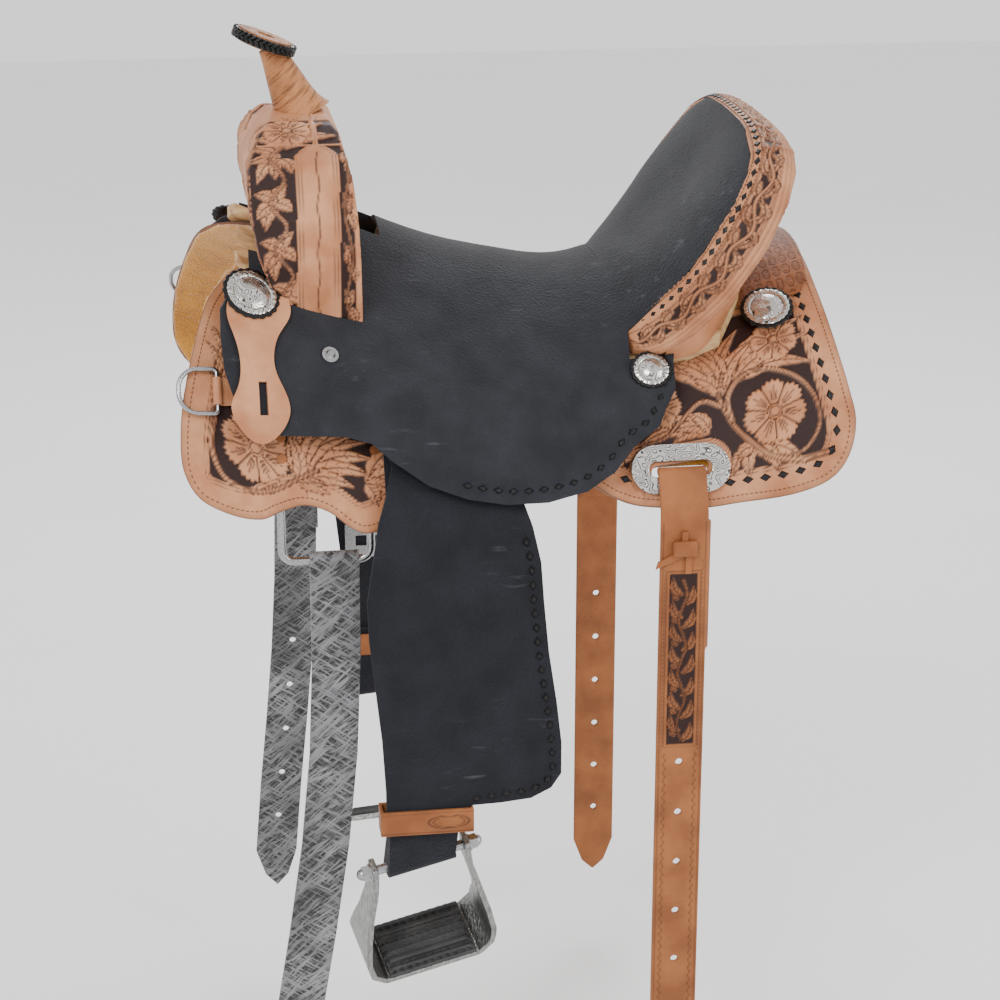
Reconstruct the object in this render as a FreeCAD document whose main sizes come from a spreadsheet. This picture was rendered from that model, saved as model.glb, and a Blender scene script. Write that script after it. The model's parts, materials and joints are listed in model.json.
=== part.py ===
"""Western barrel-racing saddle, built as an assembly of separate leather, wood and metal pieces.

Frame: X runs from the horn (-X) to the cantle (+X), Y across the horse with the near side at -Y,
Z up. The origin is on the underside of the saddle at the lowest place of its spine. Millimetres.
"""
import FreeCAD, Part
import math
import os
import Sketcher
from FreeCAD import Matrix, Placement, Rotation, Vector

doc = FreeCAD.newDocument("WesternSaddle")

# ---------------------------------------------------------------- driving dimensions
DIMENSIONS = [
    ("back_half_width", 240, "half width of the curved underside"),
    ("back_depth", 300, "height of the curve of the underside"),
    ("spine_low", 20, "height of the spine of the skirts at its lowest place"),
    ("spine_low_place", 60, "place of that lowest point along the saddle"),
    ("front_rise", 105, "rise of the spine at the front of the skirts"),
    ("rear_rise", 45, "rise of the spine at the rear of the skirts"),
    ("skirt_front", 320, "reach of the skirts in front of the origin"),
    ("skirt_rear", 330, "reach of the skirts behind the origin"),
    ("skirt_thickness", 5, "skirt leather"),
    ("lining_thickness", 8, "wool lining with its backing"),
    ("bar_thickness", 10, "tree bar"),
    ("seat_leather", 5, "seat and jockey leather"),
    ("seat_padding", 3, "foam under the seat leather"),
    ("jockey_flare", 6, "how much further the jockeys stand out over the fenders"),
    ("sheet_gap", 0.4, "space between neighbouring sheets"),
    ("fork_height", 206, "top of the fork above the origin"),
    ("fork_half_width", 153, "half width of the fork across its swells"),
    ("fork_cover_thickness", 3.5, "leather over the fork"),
    ("horn_lean", 23, "lean of the horn's neck towards the front, degrees"),
    ("horn_cap_tilt", 21, "tilt of the horn's cap, degrees"),
    ("horn_height", 74, "length of the neck along its own axis"),
    ("horn_cap_radius", 27, "radius of the cap inside its braided edge"),
    ("horn_cap_thickness", 12, "thickness of the cap"),
    ("horn_post_radius", 8, "radius of the steel post in the neck"),
    ("cantle_height", 190, "top of the cantle above the origin"),
    ("strap_thickness", 4.5, "latigo, billets and stirrup leathers"),
    ("latigo_width", 47, "width of the latigo and the off billet"),
    ("rear_billet_width", 47, "width of the rear billets"),
    ("fender_thickness", 4, "fender leather"),
    ("stirrup_leather_width", 70, "width of the leather that carries the stirrup"),
    ("stirrup_drop", 148, "from the stirrup bolt to the top of the tread"),
    ("stirrup_depth", 66, "tread from front to back"),
    ("stirrup_wall", 6, "wall of the stirrup frame"),
    ("stirrup_top_width", 90, "clear width of the stirrup at its bolt"),
    ("stirrup_tread_width", 122, "clear width of the stirrup above its tread"),
    ("bolt_radius", 5, "stirrup bolt"),
    ("bolt_clearance", 0.3, "radial play of the leather loop on the bolt"),
    ("front_dee_width", 85, "rigging dee, between the middles of its sides"),
    ("front_dee_drop", 80, "rigging dee, from its bar to its bottom"),
    ("front_dee_wire", 4, "radius of the rigging dee's wire"),
    ("breast_dee_radius", 21, "breast collar dee, to the middle of its wire"),
    ("breast_dee_wire", 2.2, "radius of the breast collar dee's wire"),
    ("plate_length", 96, "rear rigging plate"),
    ("plate_width", 48, "rear rigging plate, across"),
    ("plate_thickness", 2.5, "rear rigging plate"),
    ("plate_slot_length", 62, "slot of the rear rigging plate"),
    ("plate_slot_width", 15, "slot of the rear rigging plate, across"),
    ("billet_hole_radius", 3.6, "holes of the billets"),
    ("billet_hole_pitch", 55, "distance between the billet's holes"),
]
sheet = doc.addObject("Spreadsheet::Sheet", "Sizes")
for row, (alias, value, note) in enumerate(DIMENSIONS, start=1):
    sheet.set(f"A{row}", alias)
    sheet.set(f"B{row}", str(value))
    sheet.set(f"C{row}", note)
    sheet.setAlias(f"B{row}", alias)
doc.recompute()


def size(alias):
    """Value of one driving dimension."""
    return float(sheet.get(alias))


A = size("back_half_width")
B = size("back_depth")
GAP = size("sheet_gap")
SKIRT_OUT = GAP + size("skirt_thickness")
BAR_IN = SKIRT_OUT + GAP
BAR_OUT = BAR_IN + size("bar_thickness")
SEAT_LEATHER = size("seat_leather")
SEAT_LOW = BAR_OUT + 11.2
STRAP = size("strap_thickness")

# ---------------------------------------------------------------- list of finished sub-parts
nodes = []


def finish(obj, label):
    """Name a finished sub-part and put it on the list that is written out."""
    obj.Label = label
    nodes.append(obj)
    return obj


def feature(label, shape):
    """A sub-part whose shape is set directly, for draped leather and other free forms."""
    obj = doc.addObject("Part::Feature", label)
    place = shape.Placement
    obj.Shape = shape
    obj.Placement = place
    return finish(obj, label)


def mirrored(source, label):
    """The off-side twin of a near-side sub-part."""
    obj = doc.addObject("Part::Mirroring", label)
    obj.Source = source
    obj.Base = Vector(0, 0, 0)
    obj.Normal = Vector(0, 1, 0)
    return finish(obj, label)


# ---------------------------------------------------------------- the curved back that all lies on
def spine(x):
    """Height of the spine of the underside at place x."""
    place = size("spine_low_place")
    if x < place:
        share = (x - place) / (size("skirt_front") + place)
        return size("spine_low") + size("front_rise") * share ** 2
    share = (x - place) / (size("skirt_rear") - place)
    return size("spine_low") + size("rear_rise") * share ** 2


def on_back(x, angle, height):
    """A point at an angle (degrees, near side negative) from the spine, standing off the back."""
    turn = math.radians(angle)
    y = (A + height) * math.sin(turn)
    z = spine(x) - B + (B + height) * math.cos(turn)
    return Vector(x, y, z)


def outward(x, angle):
    """Unit vector out of the curved back at a place."""
    turn = math.radians(angle)
    slope = (spine(x + 1) - spine(x - 1)) / 2
    normal = Vector(-slope * A * math.cos(turn), B * math.sin(turn), A * math.cos(turn))
    return normal.normalize()


def steps(start, end, count):
    """Evenly spaced values from start to end."""
    return [start + (end - start) * i / (count - 1) for i in range(count)]


def along(stations, x):
    """Value at x of a smooth line through the (place, value) stations."""
    if x <= stations[0][0]:
        return stations[0][1]
    for (x0, v0), (x1, v1) in zip(stations, stations[1:]):
        if x <= x1:
            share = (x - x0) / (x1 - x0)
            return v0 + (v1 - v0) * share
    return stations[-1][1]


def smooth(share):
    """Ease from 0 to 1."""
    share = min(1, max(0, share))
    return share * share * (3 - 2 * share)


def spline(points):
    """Smooth edge through points."""
    curve = Part.BSplineCurve()
    curve.interpolate(points)
    return curve.toShape()


def closed_section(outer, inner):
    """Wire round a strip between two rows of points."""
    edges = [spline(outer), Part.makeLine(outer[-1], inner[-1])]
    edges += [spline(inner[::-1]), Part.makeLine(inner[0], outer[0])]
    return Part.Wire(edges)


def layer(places, angles, low, high):
    """Sheet on the back between two heights, each a function of place and angle."""
    sections = []
    for x in places:
        outer = [on_back(x, a, high(x, a)) for a in angles]
        inner = [on_back(x, a, low(x, a)) for a in angles]
        sections.append(closed_section(outer, inner))
    return Part.makeLoft(sections, True, False)


def flat(height):
    """A height that is the same all over."""
    return lambda x, a: height


def side_prism(points, y0, y1):
    """Block seen from the side as the outline through (x, z) points, from y0 to y1."""
    corners = [Vector(x, y0, z) for x, z in points]
    face = Part.Face(Part.Wire([spline(corners + corners[:1])]))
    return face.extrude(Vector(0, y1 - y0, 0))


def polygon_prism(points, y0, y1):
    """Block with straight edges, seen from the side as (x, z) points."""
    corners = [Vector(x, y0, z) for x, z in points]
    face = Part.Face(Part.makePolygon(corners + corners[:1]))
    return face.extrude(Vector(0, y1 - y0, 0))


def box(x0, x1, y0, y1, z0, z1):
    """Plain block between two corners."""
    return Part.makeBox(x1 - x0, y1 - y0, z1 - z0, Vector(x0, y0, z0))


FAR_OUT = 420
FRONT = -size("skirt_front")
REAR = size("skirt_rear")

# ---------------------------------------------------------------- skirts and their wool lining
SKIRT_OUTLINE = [
    (FRONT + 94, 140), (FRONT + 92, 88), (FRONT + 86, 80), (FRONT + 48, 68), (FRONT + 27, 50),
    (FRONT + 13, 15), (FRONT + 2, -25), (FRONT - 2, -59), (FRONT, -88), (FRONT + 14, -114),
    (FRONT + 43, -131), (FRONT + 70, -137), (FRONT + 89, -131), (FRONT + 111, -127),
    (FRONT + 134, -135), (FRONT + 154, -151), (FRONT + 172, -157), (FRONT + 200, -148),
    (-60, -122), (0, -114), (61, -124), (88, -138), (117, -147), (REAR - 157, -150),
    (REAR - 118, -146), (REAR - 69, -140), (REAR - 32, -127), (REAR - 12, -105),
    (REAR - 3, -74), (REAR - 7, -44), (REAR - 14, -7), (REAR - 21, 35), (REAR - 24, 58),
    (REAR - 34, 66), (REAR - 40, 140),
]
SKIRT_PLACES = steps(FRONT - 14, REAR + 14, 13)
SKIRT_ANGLES = [-a for a in steps(1.2, 84, 12)]
skirt_prism = polygon_prism(SKIRT_OUTLINE, -FAR_OUT, 0)

skirt_shape = layer(SKIRT_PLACES, SKIRT_ANGLES, flat(GAP), flat(SKIRT_OUT)).common(skirt_prism)
lining_shape = layer(SKIRT_PLACES, SKIRT_ANGLES, flat(-size("lining_thickness")), flat(0))
lining_shape = lining_shape.common(skirt_prism)

# The front rigging dee hangs from a leather loop in a notch of the lining.
DEE_X = FRONT + 132
DEE_HALF = size("front_dee_width") / 2
DEE_WIRE = size("front_dee_wire")
DEE_BAR_Z = -112
LOOP_LEATHER = 2.2
LOOP_RADIUS_FRONT = DEE_WIRE + 0.3 + LOOP_LEATHER
DEE_END = DEE_X + DEE_HALF + DEE_WIRE
DEE_TURN = math.acos((DEE_BAR_Z - spine(DEE_END) + B) / B)
DEE_BAR_Y = -A * math.sin(DEE_TURN) + LOOP_RADIUS_FRONT + 0.6
NOTCH_HALF = DEE_HALF + DEE_WIRE + 7
RIGGING_TOP = -52
lining_shape = lining_shape.cut(box(DEE_X - NOTCH_HALF, DEE_X + NOTCH_HALF, -FAR_OUT, 0, -200, RIGGING_TOP))

# The rear billet passes through a slot in skirt and lining behind the rigging plate.
PLATE_X = 154
PLATE_ANGLE = -58.5
PLATE_LIFT = SKIRT_OUT + 1.4


def tangent_placement(x, angle, height):
    """Placement whose Z points out of the back, X to the rear along the surface, Y up the slope."""
    normal = outward(x, angle)
    rearward = Vector(1, 0, 0)
    rearward = (rearward - normal * rearward.dot(normal)).normalize()
    upslope = normal.cross(rearward)
    matrix = Matrix(
        rearward.x, upslope.x, normal.x, 0,
        rearward.y, upslope.y, normal.y, 0,
        rearward.z, upslope.z, normal.z, 0,
        0, 0, 0, 1)
    place = Placement(matrix)
    place.Base = on_back(x, angle, height)
    return place


slot_cutter = Part.makeBox(56, 12, 60, Vector(-28, -8, -30))
slot_cutter.Placement = tangent_placement(PLATE_X, PLATE_ANGLE, 0)
skirt_shape = skirt_shape.cut(slot_cutter)
lining_shape = lining_shape.cut(slot_cutter)

skirt_left = feature("skirt_left", skirt_shape)
skirt_right = mirrored(skirt_left, "skirt_right")
lining_left = feature("skirt_lining_left", lining_shape)
lining_right = mirrored(lining_left, "skirt_lining_right")

# ---------------------------------------------------------------- tree bars
bar_angles = [-a for a in steps(8, 36, 6)]
bar_shape = layer(steps(-262, 236, 9), bar_angles, flat(BAR_IN), flat(BAR_OUT))
bar_plan = [
    Vector(-255, -52, -200), Vector(-262, -96, -200), Vector(-240, -140, -200),
    Vector(-150, -149, -200), Vector(0, -142, -200), Vector(150, -150, -200),
    Vector(205, -138, -200), Vector(232, -100, -200), Vector(228, -52, -200),
    Vector(120, -38, -200), Vector(-120, -38, -200),
]
bar_prism = Part.Face(Part.makePolygon(bar_plan + bar_plan[:1])).extrude(Vector(0, 0, 500))
bar_left = feature("tree_bar_left", bar_shape.common(bar_prism))
bar_right = mirrored(bar_left, "tree_bar_right")

# ---------------------------------------------------------------- fork and its cover
FORK_TOP = size("fork_height")
FORK_W = size("fork_half_width")
FORK_FRONT_VIEW = [
    (0, FORK_TOP), (60, FORK_TOP - 6), (FORK_W - 40, FORK_TOP - 34), (FORK_W - 8, FORK_TOP - 80),
    (FORK_W, FORK_TOP - 122), (FORK_W - 5, FORK_TOP - 162), (FORK_W - 13, FORK_TOP - 206),
    (FORK_W - 20, FORK_TOP - 266), (FORK_W - 56, FORK_TOP - 266), (FORK_W - 49, FORK_TOP - 200),
    (FORK_W - 56, FORK_TOP - 150), (FORK_W - 74, FORK_TOP - 106), (FORK_W - 104, FORK_TOP - 76),
    (0, FORK_TOP - 66),
]
FORK_SIDE_VIEW = [
    (-214, FORK_TOP + 2), (-236, FORK_TOP - 14), (-248, FORK_TOP - 40), (-248, FORK_TOP - 76),
    (-241, FORK_TOP - 114), (-228, FORK_TOP - 152), (-212, FORK_TOP - 184),
    (-200, FORK_TOP - 210), (-195, FORK_TOP - 262), (-146, FORK_TOP - 262),
    (-144, FORK_TOP - 176), (-146, FORK_TOP - 90), (-149, FORK_TOP - 50),
    (-158, FORK_TOP - 12), (-172, FORK_TOP + 2),
]


def fork_block(grow):
    """The fork's outside shape, grown or shrunk all round."""
    half = [Vector(0, y, z) for y, z in FORK_FRONT_VIEW]
    other = [Vector(0, -y, z) for y, z in FORK_FRONT_VIEW[::-1] if y > 0]
    ring = half + other
    front_face = Part.Face(Part.makePolygon(ring + ring[:1]))
    side_ring = [Vector(x, 0, z) for x, z in FORK_SIDE_VIEW]
    side_face = Part.Face(Part.makePolygon(side_ring + side_ring[:1]))
    if grow:
        front_face = front_face.makeOffset2D(grow, join=2)
        side_face = side_face.makeOffset2D(grow, join=2)
    front_face.translate(Vector(-400, 0, 0))
    side_face.translate(Vector(0, -300, 0))
    return front_face.extrude(Vector(400, 0, 0)).common(side_face.extrude(Vector(0, 600, 0)))


def core(height):
    """Everything under a given height above the back, as one block."""
    sections = []
    for x in steps(-330, 330, 11):
        arc = [on_back(x, a, height) for a in steps(-88, 88, 23)]
        sections.append(Part.Wire([spline(arc), Part.makeLine(arc[-1], arc[0])]))
    return Part.makeLoft(sections, True, False)


under_fork = core(BAR_OUT + GAP)
COVER = size("fork_cover_thickness")
HORN_BASE = Vector(-190, 0, FORK_TOP - 6)
fork_outer = fork_block(0)
fork_inner = fork_block(-COVER)
tree_fork_shape = fork_block(-COVER - 0.3).cut(under_fork)

# ---------------------------------------------------------------- horn
lean = math.radians(size("horn_lean"))
neck_axis = Vector(-math.sin(lean), 0, math.cos(lean))
neck_turn = Rotation(Vector(0, 0, 1), neck_axis)
post_root = HORN_BASE - neck_axis * 45
cap_tilt = math.radians(size("horn_cap_tilt"))
cap_normal = Vector(math.sin(cap_tilt), 0, math.cos(cap_tilt))
cap_turn = Rotation(Vector(0, 0, 1), cap_normal)
neck_top = HORN_BASE + neck_axis * size("horn_height")
cap_foot = neck_top + Vector(-6, 0, 0) - cap_normal * 2

post = doc.addObject("Part::Cylinder", "HornPostBar")
post.setExpression("Radius", "Sizes.horn_post_radius")
post.setExpression("Height", "Sizes.horn_height + 43")
post.Placement = Placement(post_root, neck_turn)
post_disc = doc.addObject("Part::Cylinder", "HornPostDisc")
post_disc.setExpression("Radius", "Sizes.horn_cap_radius - 4")
post_disc.setExpression("Height", "Sizes.horn_cap_thickness - 7")
post_disc.Placement = Placement(cap_foot + cap_normal * 3.5, cap_turn)
horn_post = doc.addObject("Part::MultiFuse", "HornPost")
horn_post.Shapes = [post, post_disc]
finish(horn_post, "horn_post")
doc.recompute()

post_room = Part.makeCylinder(size("horn_post_radius") + 0.2, size("horn_height") + 60, post_root, neck_axis)


def ellipse_wire(centre, half_long, half_wide, axis_turn):
    """Closed oval across the neck."""
    ring = [Vector(half_long * math.cos(a), half_wide * math.sin(a), 0)
            for a in steps(0, 2 * math.pi, 17)[:-1]]
    curve = Part.BSplineCurve()
    curve.interpolate([centre + axis_turn.multVec(p) for p in ring], PeriodicFlag=True)
    return Part.Wire([curve.toShape()])


NECK_STATIONS = [(0.0, 31, 27), (0.12, 25, 22), (0.35, 20, 18), (0.7, 15, 14), (0.96, 12, 12)]
neck_wires = []
for share, half_long, half_wide in NECK_STATIONS:
    centre = HORN_BASE + neck_axis * (size("horn_height") * share)
    neck_wires.append(ellipse_wire(centre, half_long, half_wide, neck_turn))
neck = Part.makeLoft(neck_wires, True, False)
cap_solid = Part.makeCylinder(size("horn_cap_radius"), size("horn_cap_thickness"), cap_foot, cap_normal)
cap_room = Part.makeCylinder(
    size("horn_cap_radius") - 3.8, size("horn_cap_thickness") - 6.6,
    cap_foot + cap_normal * 3.3, cap_normal)
neck_cut = Part.makeCylinder(60, 60, cap_foot - cap_normal * 0.2, cap_normal)
feature("horn_wrap", neck.cut(post_room).cut(neck_cut).cut(fork_block(0.2)))
feature("horn_cap", cap_solid.cut(cap_room).cut(post_room))
edge_ring = Part.makeCylinder(size("horn_cap_radius") + 3, 9, cap_foot + cap_normal * 1.5, cap_normal)
edge_hole = Part.makeCylinder(size("horn_cap_radius") + 0.2, 9, cap_foot + cap_normal * 1.5, cap_normal)
feature("horn_cap_edge", edge_ring.cut(edge_hole))

feature("tree_fork", tree_fork_shape.cut(post_room))
feature("fork_cover", fork_outer.cut(fork_inner).cut(under_fork).cut(post_room))

# ---------------------------------------------------------------- seat surface
SEAT_MIDDLE = [
    (-290, SEAT_LOW), (-170, SEAT_LOW + 30), (-128, SEAT_LOW + 26), (-84, SEAT_LOW + 18),
    (-43, SEAT_LOW + 12), (9, SEAT_LOW + 6), (50, SEAT_LOW), (90, SEAT_LOW), (112, SEAT_LOW + 3),
    (140, SEAT_LOW + 16), (170, SEAT_LOW + 40), (200, SEAT_LOW + 72), (222, SEAT_LOW + 105),
    (236, SEAT_LOW + 127),
]
DISH_EDGE = [
    (60, SEAT_LOW), (111, SEAT_LOW + 10), (141, SEAT_LOW + 42), (167, SEAT_LOW + 71),
    (190, SEAT_LOW + 98), (210, SEAT_LOW + 116), (225, SEAT_LOW + 129), (236, SEAT_LOW + 135),
]
DISH_ANGLE = [
    (60, 32), (111, 32), (141, 31.3), (167, 30.2), (190, 28.2), (210, 25.9), (225, 22.6), (232, 19.4),
    (236, 13),
]
FLARE = size("jockey_flare")


def seat_height(x, angle):
    """Top of the seat leather above the back: a ridge in front, a dish with a raised rim behind."""
    side = abs(angle)
    rim = along(DISH_ANGLE, x)
    middle = along(SEAT_MIDDLE, x)
    edge = along(DISH_EDGE, x)
    if side <= rim:
        height = middle + (edge - middle) * smooth(side / rim)
    else:
        height = edge + (SEAT_LOW - edge) * smooth((side - rim) / 5)
    return height + FLARE * smooth((side - 38) / 16)


def below_seat(depth):
    """Height of a surface under the top of the seat."""
    return lambda x, a: seat_height(x, a) - depth


SEAT_PLACES = [-290, -230, -170, -128, -84, -43, 9, 50, 90, 112, 128, 140, 155, 170, 185, 200, 211, 222,
               230, 236]
SEAT_ANGLES = [-66, -60, -54, -48, -42, -37, -33, -30, -26, -21, -14, -7, 0]
SEAT_ANGLES += [-a for a in SEAT_ANGLES[-2::-1]]
JOCKEY_OUTLINE = [
    (-247, 150), (-250, 76), (-266, 66), (-280, 50), (-281, 30), (-279, 3), (-266, -38), (-229, -56),
    (-170, -62), (-145, -70), (-127, -86), (-93, -110), (-57, -124), (-19, -131), (20, -131),
    (58, -123), (86, -107), (106, -86), (132, -70), (140, -56), (152, -40), (154, -20), (165, 25),
    (185, 45), (210, 80), (230, 120), (240, 150), (240, 260), (-120, 260),
]
DISH_START = 104
LOBE_START = 112
LOBE_END = 160


def jockey_sheet(depth):
    """Height of a surface under the top of the seat leather, level behind the start of the lobes."""
    return lambda x, a: seat_height(min(x, LOBE_START), a) - depth


front_places = [x for x in SEAT_PLACES if x < LOBE_START] + [LOBE_START, 128, 144, LOBE_END]
front_seat = layer(front_places, SEAT_ANGLES, jockey_sheet(SEAT_LEATHER), jockey_sheet(0))
front_seat = front_seat.common(polygon_prism(JOCKEY_OUTLINE, -FAR_OUT, FAR_OUT))
LOBE_INSIDE = (A + SEAT_LOW) * math.sin(math.radians(37))
front_seat = front_seat.cut(box(LOBE_START, LOBE_END + 20, -LOBE_INSIDE, LOBE_INSIDE, -200, 300))


def rim_layer(places, low, high, share):
    """Sheet that ends a given share of the way to the rim of the dish."""
    sections = []
    for x in places:
        reach = along(DISH_ANGLE, x) * share
        angles = steps(-reach, reach, 11)
        outer = [on_back(x, a, high(x, a)) for a in angles]
        inner = [on_back(x, a, low(x, a)) for a in angles]
        sections.append(closed_section(outer, inner))
    return Part.makeLoft(sections, True, False)


DISH_LAP = 0.8
dish_places = [DISH_START] + [x for x in SEAT_PLACES if x >= LOBE_START]
dish = rim_layer(dish_places, below_seat(SEAT_LEATHER - DISH_LAP), below_seat(-DISH_LAP), 1.0)
seat_shape = front_seat.fuse(dish)
HAND_HOLE_X = -118
HAND_HOLE_HALF = 45
seat_shape = seat_shape.cut(box(-300, HAND_HOLE_X, -HAND_HOLE_HALF, HAND_HOLE_HALF, 0, 300))
seat_shape = seat_shape.cut(box(-300, -143.5, -106, 106, 0, 300)).cut(fork_block(0.5))
seat_cover = feature("seat_cover", seat_shape)

# ---------------------------------------------------------------- padding, ground seat, cantle wood
PAD_ROOM = 1.6
PAD_TOP = SEAT_LEATHER + PAD_ROOM
GROUND_TOP = PAD_TOP + size("seat_padding") + PAD_ROOM
GROUND_REAR = 170
inner_angles = steps(-25, 25, 11)
pad_places = [-112, -84, -43, 9, 50, 90, 112, 140, 155, 170, 185, 200, 211, 222]


def block_section(x, top_reach, foot_reach, low):
    """Section of a block that stands on the bars and carries the seat."""
    top = [on_back(x, a, seat_height(x, a) - GROUND_TOP) for a in steps(-top_reach, top_reach, 9)]
    foot = [on_back(x, a, low) for a in steps(-foot_reach, foot_reach, 9)]
    return closed_section(top, foot)


foam = rim_layer(pad_places, below_seat(PAD_TOP + size("seat_padding")), below_seat(PAD_TOP), 0.8)
feature("seat_foam", foam)
ground_low = BAR_OUT + GAP
ground_sections = []
for x in [-112, -84, -43, 9, 50, 90, 112, 140, 155, GROUND_REAR]:
    reach = along(DISH_ANGLE, x) * 0.8
    ground_sections.append(block_section(x, reach, reach, ground_low))
feature("ground_seat", Part.makeLoft(ground_sections, True, False))
cantle_sections = []
for x, foot_reach in ((GROUND_REAR + 0.5, 26), (190, 24), (210, 21), (222, 18), (231, 15)):
    cantle_sections.append(block_section(x, along(DISH_ANGLE, x) * 0.85, foot_reach, ground_low))
feature("tree_cantle", Part.makeLoft(cantle_sections, True, False))

# ---------------------------------------------------------------- cantle roll, cantle back, housing
CANTLE_TOP = size("cantle_height")
ROLL_INNER = [
    (106, -137, 2), (122, -148, 21), (141, -160, 42), (167, -170, 71), (190, -172, 105),
    (210, -167, 133), (225, -152, 158), (232, -134, 173), (236, -90, CANTLE_TOP - 2),
    (237, -45, CANTLE_TOP + 2), (237, 0, CANTLE_TOP + 3),
]
ROLL_OUTER = [
    (118, -152, -10), (145, -170, -8), (172, -186, 14), (208, -197, 56), (238, -197, 104),
    (257, -186, 144), (268, -166, 168), (272, -142, 178), (274, -96, 184), (274, -48, 187),
    (274, 0, 188),
]
roll_sections = []
for inner, outer in zip(ROLL_INNER, ROLL_OUTER):
    a = Vector(*inner)
    b = Vector(*outer)
    width = b - a
    rise = Vector(0, 0, 1) - width * (Vector(0, 0, 1).dot(width) / width.dot(width))
    rise = (rise + Vector(-0.2, 0, 0)).normalize()
    ring = [a + rise * 2, a + width * 0.35 + rise * 7, a + width * 0.75 + rise * 6,
            b, b - width * 0.06 - rise * 9, b - width * 0.3 - rise * 10, a + width * 0.3 - rise * 3,
            a - rise * 3]
    roll_sections.append((inner[1], ring))


def ring_wire(points):
    """Closed ring with straight sides through points."""
    return Part.makePolygon(points + points[:1])


def flip(point):
    """The off-side twin of a point."""
    return Vector(point.x, -point.y, point.z)


near_rings = [ring for place, ring in roll_sections]
far_rings = [[flip(p) for p in ring] for place, ring in roll_sections[-2::-1]]
roll = Part.makeLoft([ring_wire(r) for r in near_rings + far_rings], True, True)
feature("cantle_roll", roll)

BACK_FOOT = [
    (150, -150, -34), (170, -146, -30), (196, -134, -14), (216, -116, 8), (232, -95, 24),
    (244, -62, 40), (250, -30, 48), (251, 0, 50),
]
BACK_HEAD = [
    (152, -165, -4), (178, -178, 26), (210, -186, 68), (233, -182, 108), (250, -166, 144),
    (258, -132, 164), (260, -60, 174), (260, 0, 176),
]
back_sections = []
for foot, head in zip(BACK_FOOT, BACK_HEAD):
    low = Vector(*foot)
    top = Vector(*head)
    inward = Vector(-4, 0, 0)
    back_sections.append([low, top, top + inward, low + inward])
back_sections += [[flip(p) for p in quad] for quad in back_sections[-2::-1]]
back_wires = [Part.makePolygon(quad + quad[:1]) for quad in back_sections]
cantle_back = Part.makeLoft(back_wires, True, False)
feature("cantle_back", cantle_back.cut(core(BAR_OUT + GAP)))

HOUSING_OUTLINE = [
    (216, 140), (214, 20), (250, 14), (286, 24), (302, 42), (306, 62), (304, 140),
]
HOUSING_T = 4
housing = layer(steps(205, 320, 5), steps(-26, 26, 9), flat(BAR_IN), flat(BAR_IN + HOUSING_T))
housing = housing.common(polygon_prism(HOUSING_OUTLINE, -FAR_OUT, FAR_OUT))
feature("rear_housing", housing.cut(bar_left.Shape).cut(bar_right.Shape))

# ---------------------------------------------------------------- latigo keepers on the jockeys
KEEPER_OUTLINE = [
    (-270, 60), (-274, 48), (-269, 32), (-264, 8), (-268, -12), (-274, -24), (-270, -40),
    (-247, -60), (-226, -48), (-220, -34), (-224, -18), (-232, 2), (-226, 26), (-214, 40),
    (-216, 54), (-228, 66), (-252, 70),
]


def above_seat(height):
    """Height of a surface over the top of the jockey leather."""
    return lambda x, a: seat_height(x, a) + height


keeper_angles = [-a for a in steps(26, 66, 11)]
keeper = layer([-290, -230, -170], keeper_angles, above_seat(GAP), above_seat(GAP + 4))
keeper = keeper.common(side_prism(KEEPER_OUTLINE, -FAR_OUT, 0))
keeper_slot = Part.makeBox(8, 32, 40, Vector(-4, -16, -20))
KEEPER_SLOT_ANGLE = -55.5
keeper_slot.Placement = tangent_placement(-245, KEEPER_SLOT_ANGLE, SEAT_LOW + FLARE)
keeper = keeper.cut(keeper_slot).cut(fork_block(0.5))
keeper_left = feature("latigo_keeper_left", keeper)
keeper_right = mirrored(keeper_left, "latigo_keeper_right")

# ---------------------------------------------------------------- conchos, rosettes, screws, rivets
CONCHOS = [
    (-250, -35.5, seat_height(-250, 35.5) + GAP + 4, 24, 7),
    (131, -40, seat_height(131, 40), 16.5, 6),
    (257, -28, BAR_IN + HOUSING_T - 0.5, 22, 7),
]
ROSETTE = 2.2
concho_solids = []
rosette_solids = []
for x, angle, height, radius, rise in CONCHOS:
    for side in (1, -1):
        place = tangent_placement(x, angle * side, height)
        rosette = Part.makeCylinder(radius + 3, ROSETTE, Vector(0, 0, 0.9))
        rosette.Placement = place
        rosette = rosette.cut(fork_block(0.5))
        sphere_radius = (radius ** 2 + rise ** 2) / (2 * rise)
        dome = Part.makeSphere(sphere_radius, Vector(0, 0, ROSETTE + 1.2 + rise - sphere_radius))
        dome = dome.common(Part.makeCylinder(radius, rise + 2, Vector(0, 0, ROSETTE + 1.2)))
        dome.Placement = place
        rosette_solids.append(rosette)
        concho_solids.append(dome)
feature("conchos", Part.makeCompound(concho_solids))
feature("concho_rosettes", Part.makeCompound(rosette_solids))

screw_solids = []
for side in (1, -1):
    height = seat_height(-179, 42.5) + 0.2
    place = tangent_placement(-179, -42.5 * side, height)
    ring = Part.makeCylinder(8, 1.6, Vector(0, 0, 0.4))
    head = Part.makeCone(5, 3, 2.6, Vector(0, 0, 2))
    screw = ring.fuse(head)
    screw.Placement = place
    screw_solids.append(screw)
feature("jockey_screws", Part.makeCompound(screw_solids))

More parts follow.
